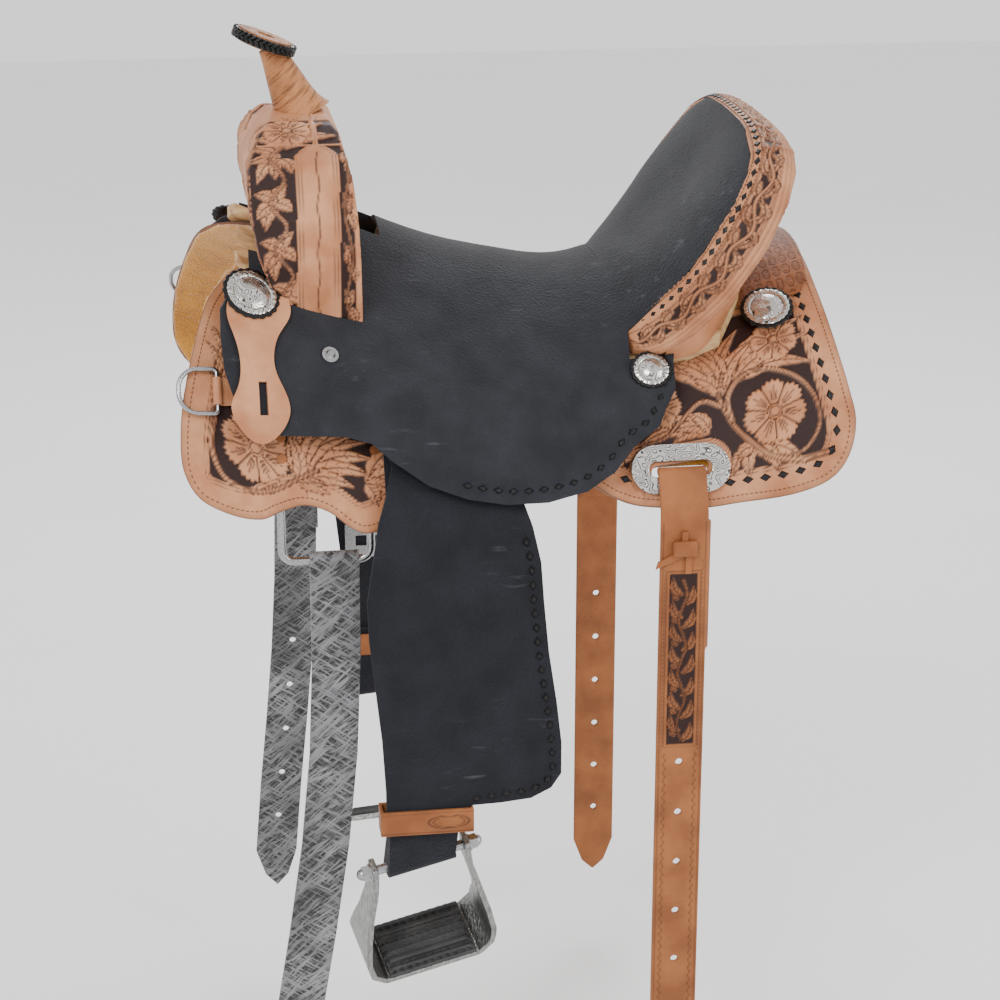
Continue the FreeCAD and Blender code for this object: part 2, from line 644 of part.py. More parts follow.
# ---------------------------------------------------------------- front rigging
patch = layer(SKIRT_PLACES, [-a for a in steps(40, 84, 9)], flat(-4.5), flat(-0.3))
PATCH_OUTLINE_X = NOTCH_HALF - 0.5
patch = patch.common(box(DEE_X - PATCH_OUTLINE_X, DEE_X + PATCH_OUTLINE_X, -FAR_OUT, 0,
                         DEE_BAR_Z + 9, RIGGING_TOP - 0.5))
bar_start = Vector(DEE_X - DEE_HALF, DEE_BAR_Y, DEE_BAR_Z)
loop_length = size("front_dee_width") - 4 * DEE_WIRE
loop_start = bar_start + Vector(2 * DEE_WIRE, 0, 0)
loop = Part.makeCylinder(LOOP_RADIUS_FRONT, loop_length, loop_start, Vector(1, 0, 0))
neck_plate = box(loop_start.x, loop_start.x + loop_length, DEE_BAR_Y - LOOP_RADIUS_FRONT + 0.4,
                 DEE_BAR_Y - LOOP_RADIUS_FRONT + 4.4, DEE_BAR_Z, DEE_BAR_Z + 13)
bar_room = Part.makeCylinder(DEE_WIRE + 0.3, size("front_dee_width") + 40, bar_start - Vector(20, 0, 0),
                             Vector(1, 0, 0))
rigging = patch.fuse([loop, neck_plate]).cut(bar_room)
rigging_left = feature("rigging_leather_left", rigging)
rigging_right = mirrored(rigging_left, "rigging_leather_right")

rivet_solids = []
for side in (1, -1):
    for x in (DEE_X - 41, DEE_X + 47):
        for rivet_z in (-84, -66):
            turn = math.acos((rivet_z - spine(x) + B) / (B + SKIRT_OUT))
            place = tangent_placement(x, -math.degrees(turn) * side, SKIRT_OUT)
            head = Part.makeCylinder(4.5, 1.4, Vector(0, 0, 0.1))
            shank = Part.makeCylinder(1.6, SKIRT_OUT + 5, Vector(0, 0, 0.1 - SKIRT_OUT - 5))
            rivet = head.fuse(shank)
            rivet.Placement = place
            rivet_solids.append(rivet)
feature("rigging_rivets", Part.makeCompound(rivet_solids))


def wire_ring(points, radii, wire_radius):
    """Closed bent-wire ring through corner points in one plane, with an arc at each corner."""
    edges = []
    count = len(points)
    ends = []
    for i, corner in enumerate(points):
        back = (points[i - 1] - corner).normalize()
        ahead = (points[(i + 1) % count] - corner).normalize()
        half = back.getAngle(ahead) / 2
        reach = radii[i] / math.tan(half)
        enter = corner + back * reach
        leave = corner + ahead * reach
        bisector = (back + ahead).normalize()
        middle = corner + bisector * (radii[i] / math.sin(half) - radii[i])
        ends.append((enter, middle, leave))
    for i in range(count):
        enter, middle, leave = ends[i]
        edges.append(Part.Arc(enter, middle, leave).toShape())
        edges.append(Part.makeLine(leave, ends[(i + 1) % count][0]))
    path = Part.Wire(edges)
    start = ends[0][2]
    direction = (ends[1][0] - start).normalize()
    circle = Part.Wire([Part.makeCircle(wire_radius, start, direction)])
    spine_edges = edges[1:] + edges[:1]
    return Part.Wire(spine_edges).makePipeShell([circle], True, False)


dee_corners = [
    bar_start, Vector(DEE_X + DEE_HALF, DEE_BAR_Y, DEE_BAR_Z),
    Vector(DEE_X + DEE_HALF, DEE_BAR_Y, DEE_BAR_Z - size("front_dee_drop")),
    Vector(DEE_X - DEE_HALF, DEE_BAR_Y, DEE_BAR_Z - size("front_dee_drop")),
]
front_dee = wire_ring(dee_corners, [7, 7, 12, 12], DEE_WIRE)
front_dee_left = feature("front_dee_left", front_dee)
front_dee_right = mirrored(front_dee_left, "front_dee_right")

# ---------------------------------------------------------------- latigo and off billet
DEE_FOOT = Vector(DEE_X, DEE_BAR_Y, DEE_BAR_Z - size("front_dee_drop"))
STRAP_SWING = 0.3


def strap_shape(centre_x, drift, drop, width, tail, holes):
    """Strap folded over the dee's foot: a long front run, a short tail behind, a tapered tip."""
    def run_point(share):
        """Middle of the front run, as x and z, a share of the way down."""
        return centre_x + drift * smooth(share) * share, DEE_FOOT.z - (drop - 45) * share

    radius = DEE_WIRE + STRAP_SWING
    y_front = DEE_FOOT.y - radius
    y_back = DEE_FOOT.y + radius
    fold = Part.makeCylinder(radius + STRAP, width, Vector(centre_x - width / 2, DEE_FOOT.y, DEE_FOOT.z),
                             Vector(1, 0, 0))
    hollow = Part.makeCylinder(radius, width, Vector(centre_x - width / 2, DEE_FOOT.y, DEE_FOOT.z),
                               Vector(1, 0, 0))
    below = box(centre_x - width, centre_x + width, y_front - 20, y_back + 20,
                DEE_FOOT.z - 40, DEE_FOOT.z)
    loop_part = fold.cut(hollow).cut(below)
    left_edge = []
    right_edge = []
    for share in steps(0, 1, 7):
        x, z = run_point(share)
        left_edge.append((x - width / 2, z))
        right_edge.append((x + width / 2, z))
    tip_x = centre_x + drift
    tip = [(tip_x - width * 0.28, DEE_FOOT.z - drop + 14), (tip_x, DEE_FOOT.z - drop),
           (tip_x + width * 0.28, DEE_FOOT.z - drop + 14)]
    front_run = polygon_prism(left_edge + tip + right_edge[::-1], y_front - STRAP, y_front)
    back_run = box(centre_x - width / 2, centre_x + width / 2, y_back, y_back + STRAP,
                   DEE_FOOT.z - tail, DEE_FOOT.z)
    closing = box(centre_x - width / 2, centre_x + width / 2, y_front, y_back + STRAP,
                  DEE_FOOT.z - tail - 0.1, DEE_FOOT.z - tail + 26)
    closing = closing.cut(box(centre_x - width, centre_x + width, y_front, y_back,
                              DEE_FOOT.z - tail + 20, DEE_FOOT.z))
    shape = loop_part.fuse([front_run, back_run, closing])
    for index in range(holes):
        x, z = run_point(1 - (45 + index * size("billet_hole_pitch")) / (drop - 45))
        hole = Part.makeCylinder(size("billet_hole_radius"), 40, Vector(x, DEE_FOOT.y - 30, z),
                                 Vector(0, 1, 0))
        shape = shape.cut(hole)
    return shape.removeSplitter()


LATIGO_X = DEE_X + 7
OFF_BILLET_X = DEE_X - 6
latigo = strap_shape(LATIGO_X, -62, 640, size("latigo_width"), 92, 0)
feature("latigo_left", latigo)
off_billet = strap_shape(OFF_BILLET_X, -34, 560, size("latigo_width"), 110, 5)
feature("off_billet_right", off_billet.mirror(Vector(0, 0, 0), Vector(0, 1, 0)))

# ---------------------------------------------------------------- breast collar dee and its tab
BREAST_ANGLE = -56
BREAST_X = -286
breast_place = tangent_placement(BREAST_X, BREAST_ANGLE, SKIRT_OUT + 0.4 + size("breast_dee_wire") + 2.2)
ring_radius = size("breast_dee_radius")
half_ring = wire_ring(
    [Vector(0, -ring_radius, 0), Vector(0, ring_radius, 0), Vector(-ring_radius * 1.75, ring_radius, 0),
     Vector(-ring_radius * 1.75, -ring_radius, 0)],
    [4, 4, ring_radius * 0.9, ring_radius * 0.9], size("breast_dee_wire"))
half_ring.Placement = breast_place
breast_dee_left = feature("breast_dee_left", half_ring)
breast_dee_right = mirrored(breast_dee_left, "breast_dee_right")
tab_loop = Part.makeCylinder(size("breast_dee_wire") + 2, 26, Vector(0, -13, 0), Vector(0, 1, 0))
tab_room = Part.makeCylinder(size("breast_dee_wire") + 0.3, 60, Vector(0, -30, 0), Vector(0, 1, 0))
tab_floor = -(size("breast_dee_wire") + 2)
tab_flat = Part.makeBox(20, 26, 2.4, Vector(0, -13, tab_floor))
tab = tab_loop.fuse(tab_flat).cut(tab_room)
tab.Placement = breast_place
tab_left = feature("breast_tab_left", tab.cut(core(SKIRT_OUT + 0.2)))
tab_right = mirrored(tab_left, "breast_tab_right")

# ---------------------------------------------------------------- rear rigging plates

def stadium(sketch, length_alias, width_alias, prefix):
    """Constrained slot outline in a sketch, bound to two driving dimensions."""
    width = size(width_alias)
    run = (size(length_alias) - width) / 2
    radius = width / 2
    first = sketch.GeometryCount
    up = Vector(0, 0, 1)
    right_arc = Part.ArcOfCircle(Part.Circle(Vector(run, 0, 0), up, radius), -math.pi / 2, math.pi / 2)
    left_arc = Part.ArcOfCircle(Part.Circle(Vector(-run, 0, 0), up, radius), math.pi / 2, 1.5 * math.pi)
    sketch.addGeometry(right_arc, False)
    sketch.addGeometry(Part.LineSegment(Vector(run, radius, 0), Vector(-run, radius, 0)), False)
    sketch.addGeometry(left_arc, False)
    sketch.addGeometry(Part.LineSegment(Vector(-run, -radius, 0), Vector(run, -radius, 0)), False)
    right, top, left, foot = range(first, first + 4)
    for one, one_end, other, other_end in ((right, 2, top, 1), (top, 2, left, 1), (left, 2, foot, 1),
                                           (foot, 2, right, 1)):
        sketch.addConstraint(Sketcher.Constraint("Tangent", one, one_end, other, other_end))
    sketch.addConstraint(Sketcher.Constraint("Symmetric", right, 3, left, 3, -1, 1))
    sketch.addConstraint(Sketcher.Constraint("Horizontal", top))
    index = sketch.addConstraint(Sketcher.Constraint("Radius", right, radius))
    sketch.renameConstraint(index, prefix + "Radius")
    sketch.setExpression("Constraints." + prefix + "Radius", "Sizes." + width_alias + " / 2")
    index = sketch.addConstraint(Sketcher.Constraint("Distance", foot, 2 * run))
    sketch.renameConstraint(index, prefix + "Run")
    sketch.setExpression("Constraints." + prefix + "Run", f"Sizes.{length_alias} - Sizes.{width_alias}")


def base_plane(body, role):
    """Origin plane of a body."""
    return [f for f in body.Origin.OriginFeatures if f.Role == role][0]


plate_body = doc.addObject("PartDesign::Body", "RearRiggingPlate")
plate_sketch = plate_body.newObject("Sketcher::SketchObject", "PlateOutline")
plate_sketch.AttachmentSupport = [(base_plane(plate_body, "XY_Plane"), "")]
plate_sketch.MapMode = "FlatFace"
stadium(plate_sketch, "plate_length", "plate_width", "Outer")
stadium(plate_sketch, "plate_slot_length", "plate_slot_width", "Slot")
plate_pad = plate_body.newObject("PartDesign::Pad", "PlateThickness")
plate_pad.Profile = plate_sketch
plate_pad.setExpression("Length", "Sizes.plate_thickness")
plate_body.Placement = tangent_placement(PLATE_X, PLATE_ANGLE, PLATE_LIFT)
doc.recompute()
plate_left = finish(plate_body, "rear_rigging_plate_left")
plate_right = mirrored(plate_left, "rear_rigging_plate_right")


# ---------------------------------------------------------------- straps that follow the saddle's side
def ribbon(points, near, far, x0, x1, level_x=0, slope=0):
    """Strap along (y, z) points between two offsets towards the outside, from x0 to x1.

    The points hold at level_x, and the strap rises by slope along X.
    """
    start_rise = slope * (x0 - level_x)
    lines = ([], [])
    for index, (y, z) in enumerate(points):
        before = points[max(0, index - 1)]
        after = points[min(len(points) - 1, index + 1)]
        along_y = after[0] - before[0]
        along_z = after[1] - before[1]
        length = math.hypot(along_y, along_z)
        out_y = along_z / length
        out_z = -along_y / length
        for line, offset in zip(lines, (near, far)):
            line.append(Vector(x0, y + out_y * offset, z + out_z * offset + start_rise))
    face = Part.Face(closed_section(lines[1], lines[0]))
    return face.extrude(Vector(x1 - x0, 0, slope * (x1 - x0)))


# ---------------------------------------------------------------- rear billets
BILLET_LIFT = 4.2
BEAD_UPSLOPE = -2.6
BEAD_RADIUS = STRAP - 0.5
BILLET_END = -770
BILLET_W = size("rear_billet_width")
plate_place = tangent_placement(PLATE_X, PLATE_ANGLE, PLATE_LIFT)


def on_plate(upslope, lift):
    """(y, z) of a point in the plate's own frame."""
    point = plate_place.multVec(Vector(0, upslope, lift))
    return (point.y, point.z)


BILLET_HINGE = plate_place.multVec(Vector(0, BEAD_UPSLOPE, BILLET_LIFT))
knee_y, knee_z = on_plate(-34, BILLET_LIFT)
billet_path = [on_plate(BEAD_UPSLOPE, BILLET_LIFT), on_plate(-14, BILLET_LIFT), on_plate(-26, BILLET_LIFT),
               (knee_y - 0.5, knee_z - 1), (knee_y - 2.5, knee_z - 14), (knee_y - 3, knee_z - 30)]
billet_path += [(knee_y - 3, z) for z in steps(-220, BILLET_END + 10, 5)] + [(knee_y - 3, BILLET_END)]
BILLET_Y = knee_y - 3
billet = ribbon(billet_path, 0, STRAP, PLATE_X - BILLET_W / 2, PLATE_X + BILLET_W / 2)
bead = Part.makeCylinder(BEAD_RADIUS, BILLET_W, BILLET_HINGE - Vector(BILLET_W / 2, 0, 0), Vector(1, 0, 0))
back_ply = box(PLATE_X - BILLET_W / 2 + 3, PLATE_X + BILLET_W / 2 + 3, BILLET_Y - 1.5, BILLET_Y + STRAP,
               -292, -160)
tip_outline = [
    (PLATE_X - BILLET_W, -60), (PLATE_X - BILLET_W, BILLET_END + 300),
    (PLATE_X - BILLET_W / 2, BILLET_END + 40), (PLATE_X - BILLET_W * 0.28, BILLET_END + 12),
    (PLATE_X, BILLET_END), (PLATE_X + BILLET_W * 0.28, BILLET_END + 12),
    (PLATE_X + BILLET_W / 2, BILLET_END + 40), (PLATE_X + BILLET_W, BILLET_END + 300),
    (PLATE_X + BILLET_W, -60),
]
billet = billet.fuse([bead, back_ply]).common(polygon_prism(tip_outline, -FAR_OUT, 0))
FIRST_HOLE = -412
for index in range(6):
    hole_z = FIRST_HOLE - index * size("billet_hole_pitch")
    hole = Part.makeCylinder(size("billet_hole_radius"), 60, Vector(PLATE_X, BILLET_Y - 30, hole_z),
                             Vector(0, 1, 0))
    billet = billet.cut(hole)
rear_billet_left = feature("rear_billet_left", billet.removeSplitter())
rear_billet_right = mirrored(rear_billet_left, "rear_billet_right")

TIE_Z = -186
tie_face = BILLET_Y - STRAP - 0.2
knot = Part.makeBox(24, 6, 16, Vector(PLATE_X - 12, tie_face - 6, TIE_Z - 8))
knot = knot.makeFillet(2.4, knot.Edges)
tail_down = box(PLATE_X + 1, PLATE_X + 7, tie_face - 2.4, tie_face, TIE_Z - 26, TIE_Z)
tail_outline = [(PLATE_X - 28, TIE_Z - 20), (PLATE_X - 26, TIE_Z - 13), (PLATE_X, TIE_Z), (PLATE_X, TIE_Z - 8)]
tail_side = polygon_prism(tail_outline, tie_face - 2.4, tie_face)
riser = box(PLATE_X - 3, PLATE_X + 3, tie_face - 2.4, tie_face, TIE_Z, TIE_Z + 17)
tie = knot.fuse([tail_down, tail_side, riser])
tie_left = feature("billet_tie_left", tie.removeSplitter())
tie_right = mirrored(tie_left, "billet_tie_right")

# ---------------------------------------------------------------- fenders
FENDER_X = -98
FENDER_Y = -240
FENDER_LIFT = BAR_OUT + 1.6
FENDER_SLOPE = (spine(FENDER_X + 1) - spine(FENDER_X - 1)) / 2
FENDER_T = size("fender_thickness")
fender_path = []
for angle in (38, 44, 50, 56, 60):
    point = on_back(FENDER_X, -angle, FENDER_LIFT)
    fender_path.append((point.y, point.z))
fender_path += [(-236.5, -128), (-239.5, -152), (FENDER_Y, -186), (FENDER_Y, -250), (FENDER_Y, -330),
                (FENDER_Y, -400), (FENDER_Y, -466)]
FENDER_OUTLINE = [
    (-135, 0), (-135, -78), (-126, -95), (-141, -146), (-147, -184), (-153, -224), (-152, -265),
    (-147, -317), (-141, -370), (-138, -424), (-138, -462), (-57, -462), (-55, -443), (-25, -442),
    (5, -439), (25, -429), (35, -414), (35, -381), (30, -338), (22, -285), (17, -233), (14, -192),
    (6, -156), (-3, -130), (-20, -92), (-61, -76), (-61, 0),
]
fender = ribbon(fender_path, -FENDER_T / 2, FENDER_T / 2, -180, 60, FENDER_X, FENDER_SLOPE)
fender = fender.common(polygon_prism(FENDER_OUTLINE, -FAR_OUT, 0))
fender_left = feature("fender_left", fender)
fender_right = mirrored(fender_left, "fender_right")

# ---------------------------------------------------------------- stirrup leathers, hobbles, buckles
LEATHER_W = size("stirrup_leather_width")
inner_face = -FENDER_T / 2 - GAP
strap_path = fender_path[:-1] + [(FENDER_Y, -454)]
strap = ribbon(strap_path, inner_face - STRAP, inner_face, FENDER_X - LEATHER_W / 2,
               FENDER_X + LEATHER_W / 2, FENDER_X, FENDER_SLOPE)
BOLT_CENTRE = Vector(-104, -222, -506)
BOLT_YAW = math.radians(10)
BOLT_PITCH = math.radians(9.5)
STIRRUP_TILT = math.radians(26)
bolt_axis = Vector(math.cos(BOLT_PITCH) * math.cos(BOLT_YAW), math.cos(BOLT_PITCH) * math.sin(BOLT_YAW),
                   math.sin(BOLT_PITCH))
level_in = Vector(-math.sin(BOLT_YAW), math.cos(BOLT_YAW), 0)
plumb = bolt_axis.cross(level_in)
hang_in = level_in * math.cos(STIRRUP_TILT) + plumb * math.sin(STIRRUP_TILT)
hang_up = plumb * math.cos(STIRRUP_TILT) - level_in * math.sin(STIRRUP_TILT)


def frame_placement(base, x_axis, y_axis, z_axis):
    """Placement from an origin and three unit axes."""
    place = Placement(Matrix(
        x_axis.x, y_axis.x, z_axis.x, 0,
        x_axis.y, y_axis.y, z_axis.y, 0,
        x_axis.z, y_axis.z, z_axis.z, 0,
        0, 0, 0, 1))
    place.Base = base
    return place


LOOP_RADIUS = size("bolt_radius") + size("bolt_clearance") + STRAP + 1
half = bolt_axis * (LEATHER_W / 2)
leg_top_z = -440
top_quad = [
    Vector(FENDER_X - LEATHER_W / 2, FENDER_Y + 2.4, leg_top_z),
    Vector(FENDER_X + LEATHER_W / 2, FENDER_Y + 2.4, leg_top_z),
    Vector(FENDER_X + LEATHER_W / 2, FENDER_Y + 13, leg_top_z),
    Vector(FENDER_X - LEATHER_W / 2, FENDER_Y + 13, leg_top_z),
]
side_out = level_in * -LOOP_RADIUS
foot_quad = [
    BOLT_CENTRE - half + side_out, BOLT_CENTRE + half + side_out,
    BOLT_CENTRE + half - side_out, BOLT_CENTRE - half - side_out,
]
leg = Part.makeLoft([Part.makePolygon(q + q[:1]) for q in (top_quad, foot_quad)], True, True)
loop = Part.makeCylinder(LOOP_RADIUS, LEATHER_W, BOLT_CENTRE - half, bolt_axis)
bolt_room = Part.makeCylinder(size("bolt_radius") + size("bolt_clearance"), LEATHER_W + 40,
                              BOLT_CENTRE - half - bolt_axis * 20, bolt_axis)
stirrup_leather = strap.fuse([leg, loop]).cut(bolt_room)
leather_left = feature("stirrup_leather_left", stirrup_leather.removeSplitter())
leather_right = mirrored(leather_left, "stirrup_leather_right")

HOBBLE_WALL = 3
hobble_outer = box(FENDER_X - 46, FENDER_X + 46, FENDER_Y - 6, FENDER_Y + 20, -470, -444)
hobble_inner = box(FENDER_X - 46 + HOBBLE_WALL, FENDER_X + 46 - HOBBLE_WALL, FENDER_Y - 6 + HOBBLE_WALL,
                   FENDER_Y + 20 - HOBBLE_WALL, -480, -430)
hobble_left = feature("hobble_strap_left", hobble_outer.cut(hobble_inner))
hobble_right = mirrored(hobble_left, "hobble_strap_right")

buckle_y = FENDER_Y + FENDER_T / 2 + GAP + STRAP + 0.3
buckle = box(FENDER_X - 40, FENDER_X + 40, buckle_y, buckle_y + 3, -352, -312)
buckle = buckle.cut(box(FENDER_X - 28, FENDER_X + 28, buckle_y - 1, buckle_y + 4, -338, -326))
buckle_left = feature("leather_buckle_left", buckle)
buckle_right = mirrored(buckle_left, "leather_buckle_right")

# ---------------------------------------------------------------- stirrups
stirrup_place = frame_placement(BOLT_CENTRE, bolt_axis, hang_in, hang_up)
DROP = size("stirrup_drop")
WALL = size("stirrup_wall")
TOP_HALF = size("stirrup_top_width") / 2
TREAD_HALF = size("stirrup_tread_width") / 2
inner_half = [
    (TOP_HALF, 30), (TOP_HALF, 0), (TOP_HALF + 2, -DROP * 0.17), (TOP_HALF + 9, -DROP * 0.4),
    (TREAD_HALF, -DROP * 0.64), (TREAD_HALF + 3, -DROP * 0.8), (TREAD_HALF, -DROP * 0.92),
    (TREAD_HALF - 12, -DROP),
]
ring = [Vector(u, 0, v) for u, v in inner_half] + [Vector(-u, 0, v) for u, v in inner_half[::-1]]
inside = Part.Face(Part.makePolygon(ring + ring[:1]))
outside = inside.makeOffset2D(WALL, join=0)
inside.translate(Vector(0, -80, 0))
outside.translate(Vector(0, -80, 0))
hoop = outside.extrude(Vector(0, 160, 0)).cut(inside.extrude(Vector(0, 160, 0)))
DEPTH = size("stirrup_depth") / 2
depth_half = [(9, 10), (11, -20), (DEPTH * 0.5, -DROP * 0.45), (DEPTH, -DROP * 0.85), (DEPTH, -DROP - 20)]
depth_ring = [Vector(-120, n, v) for n, v in depth_half]
depth_ring += [Vector(-120, -n, v) for n, v in depth_half[::-1]]
depth_block = Part.Face(Part.makePolygon(depth_ring + depth_ring[:1])).extrude(Vector(240, 0, 0))
eye = Part.makeCylinder(size("bolt_radius") + 0.05, 300, Vector(-150, 0, 0), Vector(1, 0, 0))
hoop = hoop.common(depth_block).cut(eye).removeSplitter()
hoop.Placement = stirrup_place
stirrup_left = feature("stirrup_frame_left", hoop)
stirrup_right = mirrored(stirrup_left, "stirrup_frame_right")

tread_half = TREAD_HALF - 14
tread = box(-tread_half, tread_half, -DEPTH + 1, DEPTH - 1, -DROP, -DROP + 6)
ridges = [box(-tread_half + 4, tread_half - 4, n - 2.4, n + 2.4, -DROP + 5.9, -DROP + 8.5)
          for n in steps(-DEPTH + 6, DEPTH - 6, 6)]
tread = tread.fuse(ridges).removeSplitter()
tread.Placement = stirrup_place
tread_left = feature("stirrup_tread_left", tread)
tread_right = mirrored(tread_left, "stirrup_tread_right")

BOLT_HALF = TOP_HALF + WALL + 3
bolt = doc.addObject("Part::Cylinder", "StirrupBolt")
bolt.setExpression("Radius", "Sizes.bolt_radius")
bolt.setExpression("Height", "Sizes.stirrup_top_width + 2 * Sizes.stirrup_wall + 6")
bolt.Placement = Placement(BOLT_CENTRE - bolt_axis * BOLT_HALF, Rotation(Vector(0, 0, 1), bolt_axis))
bolt_left = finish(bolt, "stirrup_bolt_left")
doc.recompute()
bolt_right = mirrored(bolt_left, "stirrup_bolt_right")

nut_parts = []
for end in (-1, 1):
    seat_face = BOLT_CENTRE + bolt_axis * (end * (TOP_HALF + WALL + 0.2))
    outward_axis = bolt_axis * end
    washer = Part.makeCylinder(9, 1.6, seat_face, outward_axis)
    hexagon = [Vector(8 * math.cos(a), 8 * math.sin(a), 0) for a in steps(0, 2 * math.pi, 7)]
    nut = Part.Face(Part.makePolygon(hexagon)).extrude(Vector(0, 0, 7))
    nut.Placement = Placement(seat_face + outward_axis * 1.6, Rotation(Vector(0, 0, 1), outward_axis))
    dome = Part.makeSphere(6, seat_face + outward_axis * 8.6)
    dome_cut = Part.makeCylinder(12, 20, seat_face + outward_axis * 8.6, outward_axis)
    nut_solid = washer.fuse([nut, dome.common(dome_cut)])
    bolt_stub = Part.makeCylinder(size("bolt_radius") + 0.02, 3, BOLT_CENTRE + outward_axis * (BOLT_HALF - 2.98),
                                  outward_axis)
    nut_parts.append(nut_solid.cut(bolt_stub))
nuts_left = feature("stirrup_nuts_left", Part.makeCompound(nut_parts))
nuts_right = mirrored(nuts_left, "stirrup_nuts_right")

# ---------------------------------------------------------------- check and write
doc.recompute()
faults = []
for obj in doc.Objects:
    if "Invalid" in obj.State or "Error" in obj.State:
        faults.append(f"{obj.Label}: {obj.State}")
for obj in nodes:
    if obj.Shape.isNull() or not obj.Shape.isValid() or not obj.Shape.Solids:
        faults.append(f"{obj.Label}: null, invalid or not solid")
if faults:
    raise RuntimeError("; ".join(faults))
os.makedirs("parts", exist_ok=True)
for obj in nodes:
    obj.Shape.exportStep(f"parts/{obj.Label}.step")
    bounds = obj.Shape.BoundBox
    print(f"{obj.Label}: {len(obj.Shape.Solids)} solids, {obj.Shape.Volume / 1000:.1f} cm3, "
          f"X {bounds.XMin:.0f}..{bounds.XMax:.0f} Y {bounds.YMin:.0f}..{bounds.YMax:.0f} "
          f"Z {bounds.ZMin:.0f}..{bounds.ZMax:.0f}")
print(len(nodes), "sub-parts written")
print("bar of the front dee", DEE_X, DEE_BAR_Y, DEE_BAR_Z)
print("foot of the front dee", tuple(DEE_FOOT))
print("rear billet hinge", tuple(BILLET_HINGE), "billet face", BILLET_Y)
print("breast dee hinge", tuple(breast_place.Base), "axis", tuple(breast_place.Rotation.multVec(Vector(0, 1, 0))))
print("fender pivot", tuple(on_back(FENDER_X, -44, FENDER_LIFT)))
print("bolt", tuple(BOLT_CENTRE), tuple(bolt_axis))
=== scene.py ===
import json
import math

import bpy
import numpy as np
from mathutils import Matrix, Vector
from mathutils.geometry import delaunay_2d_cdt


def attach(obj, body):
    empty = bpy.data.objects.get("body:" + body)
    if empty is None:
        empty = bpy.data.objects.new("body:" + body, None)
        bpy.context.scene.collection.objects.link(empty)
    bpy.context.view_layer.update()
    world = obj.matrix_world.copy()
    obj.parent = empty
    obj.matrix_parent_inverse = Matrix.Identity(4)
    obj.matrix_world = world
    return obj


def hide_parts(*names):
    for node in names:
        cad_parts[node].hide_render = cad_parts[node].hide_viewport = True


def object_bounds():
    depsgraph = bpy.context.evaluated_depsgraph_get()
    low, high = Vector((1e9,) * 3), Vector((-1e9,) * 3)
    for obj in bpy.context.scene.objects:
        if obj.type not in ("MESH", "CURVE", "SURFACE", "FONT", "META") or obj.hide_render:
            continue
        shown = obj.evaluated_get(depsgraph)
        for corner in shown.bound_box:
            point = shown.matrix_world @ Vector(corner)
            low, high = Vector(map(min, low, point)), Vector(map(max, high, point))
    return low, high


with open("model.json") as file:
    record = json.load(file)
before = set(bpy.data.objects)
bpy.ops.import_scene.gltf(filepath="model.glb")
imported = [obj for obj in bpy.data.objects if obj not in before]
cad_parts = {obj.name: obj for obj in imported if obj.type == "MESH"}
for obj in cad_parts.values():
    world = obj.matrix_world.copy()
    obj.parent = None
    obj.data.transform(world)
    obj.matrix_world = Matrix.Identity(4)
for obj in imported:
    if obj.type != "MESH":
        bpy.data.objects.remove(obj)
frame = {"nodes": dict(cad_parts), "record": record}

# A western saddle: tooled tan leather, black rough-out seat and fenders, and silver fittings.
# Sizes in this script are millimetres in the shared frame. Near side is -y, horn is -x.

CAD_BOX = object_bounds()
MM = 0.001
BODY_OF = {}
for body_name, body_nodes in frame["record"]["behaviour"]["bodies"].items():
    for node_name in body_nodes:
        BODY_OF[node_name] = body_name
SIDES = (("left", -1), ("right", 1))

# ---- the shape of the back under the saddle ----

BACK_HALF_WIDTH = 240
BACK_DEPTH = 300
ARC = 270  # millimetres down the flank for each radian


def spine(x):
    x = np.asarray(x, float)
    front = 105 * ((x - 60) / -380) ** 2
    rear = 45 * ((x - 60) / 270) ** 2
    return 20 + np.where(x < 60, front, rear)


def on_back(x, arc, lift, side=-1):
    """Points x along the saddle, arc mm down the flank and lift mm above the back."""
    x = np.asarray(x, float)
    angle = np.asarray(arc, float) / ARC
    y = side * (BACK_HALF_WIDTH + lift) * np.sin(angle)
    z = spine(x) - BACK_DEPTH + (BACK_DEPTH + lift) * np.cos(angle)
    return np.stack([x + 0 * y, y, z], -1)


def arc_at(x, z, lift):
    """How far down the flank a point seen from the side lies."""
    rise = (np.asarray(z, float) - spine(x) + BACK_DEPTH) / (BACK_DEPTH + lift)
    return ARC * np.arccos(np.clip(rise, -1, 1))


def to_flank(side_view, lift):
    """A side view outline (x, z) laid on the flank as (x, arc)."""
    points = np.array(side_view, float)
    return np.stack([points[:, 0], arc_at(points[:, 0], points[:, 1], lift)], -1)


# ---- lines and outlines ----

TINY = 1e-9
OUTLINE_STEP = 3


def smooth(share):
    share = np.clip(share, 0, 1)
    return share * share * (3 - 2 * share)


def unit(vectors):
    """The vectors made one long."""
    return vectors / np.maximum(np.linalg.norm(vectors, axis=-1, keepdims=True), TINY)


def left_of(ways):
    """Unit vectors a quarter turn to the left of flat directions."""
    return unit(np.stack([-ways[:, 1], ways[:, 0]], -1))


def moved_right(line, gap):
    """An open flat line moved to its right by gap."""
    return line - left_of(np.gradient(line, axis=0)) * gap


def flowing(points, steps=6):
    """A smooth line through the points."""
    p = np.array(points, float)
    last = len(p) - 1
    out = []
    for i in range(last):
        a, b, c, d = p[max(i - 1, 0)], p[i], p[i + 1], p[min(i + 2, last)]
        for t in np.arange(steps) / steps:
            bend = (2 * a - 5 * b + 4 * c - d) * t * t + (3 * b - a - 3 * c + d) * t**3
            out.append(0.5 * (2 * b + (c - a) * t + bend))
    out.append(p[-1])
    return np.array(out)


def at_runs(wanted, runs, line):
    """The places on a line at the wanted distances, given the distance of each of its points."""
    return np.stack([np.interp(wanted, runs, line[:, k]) for k in range(line.shape[1])], -1)


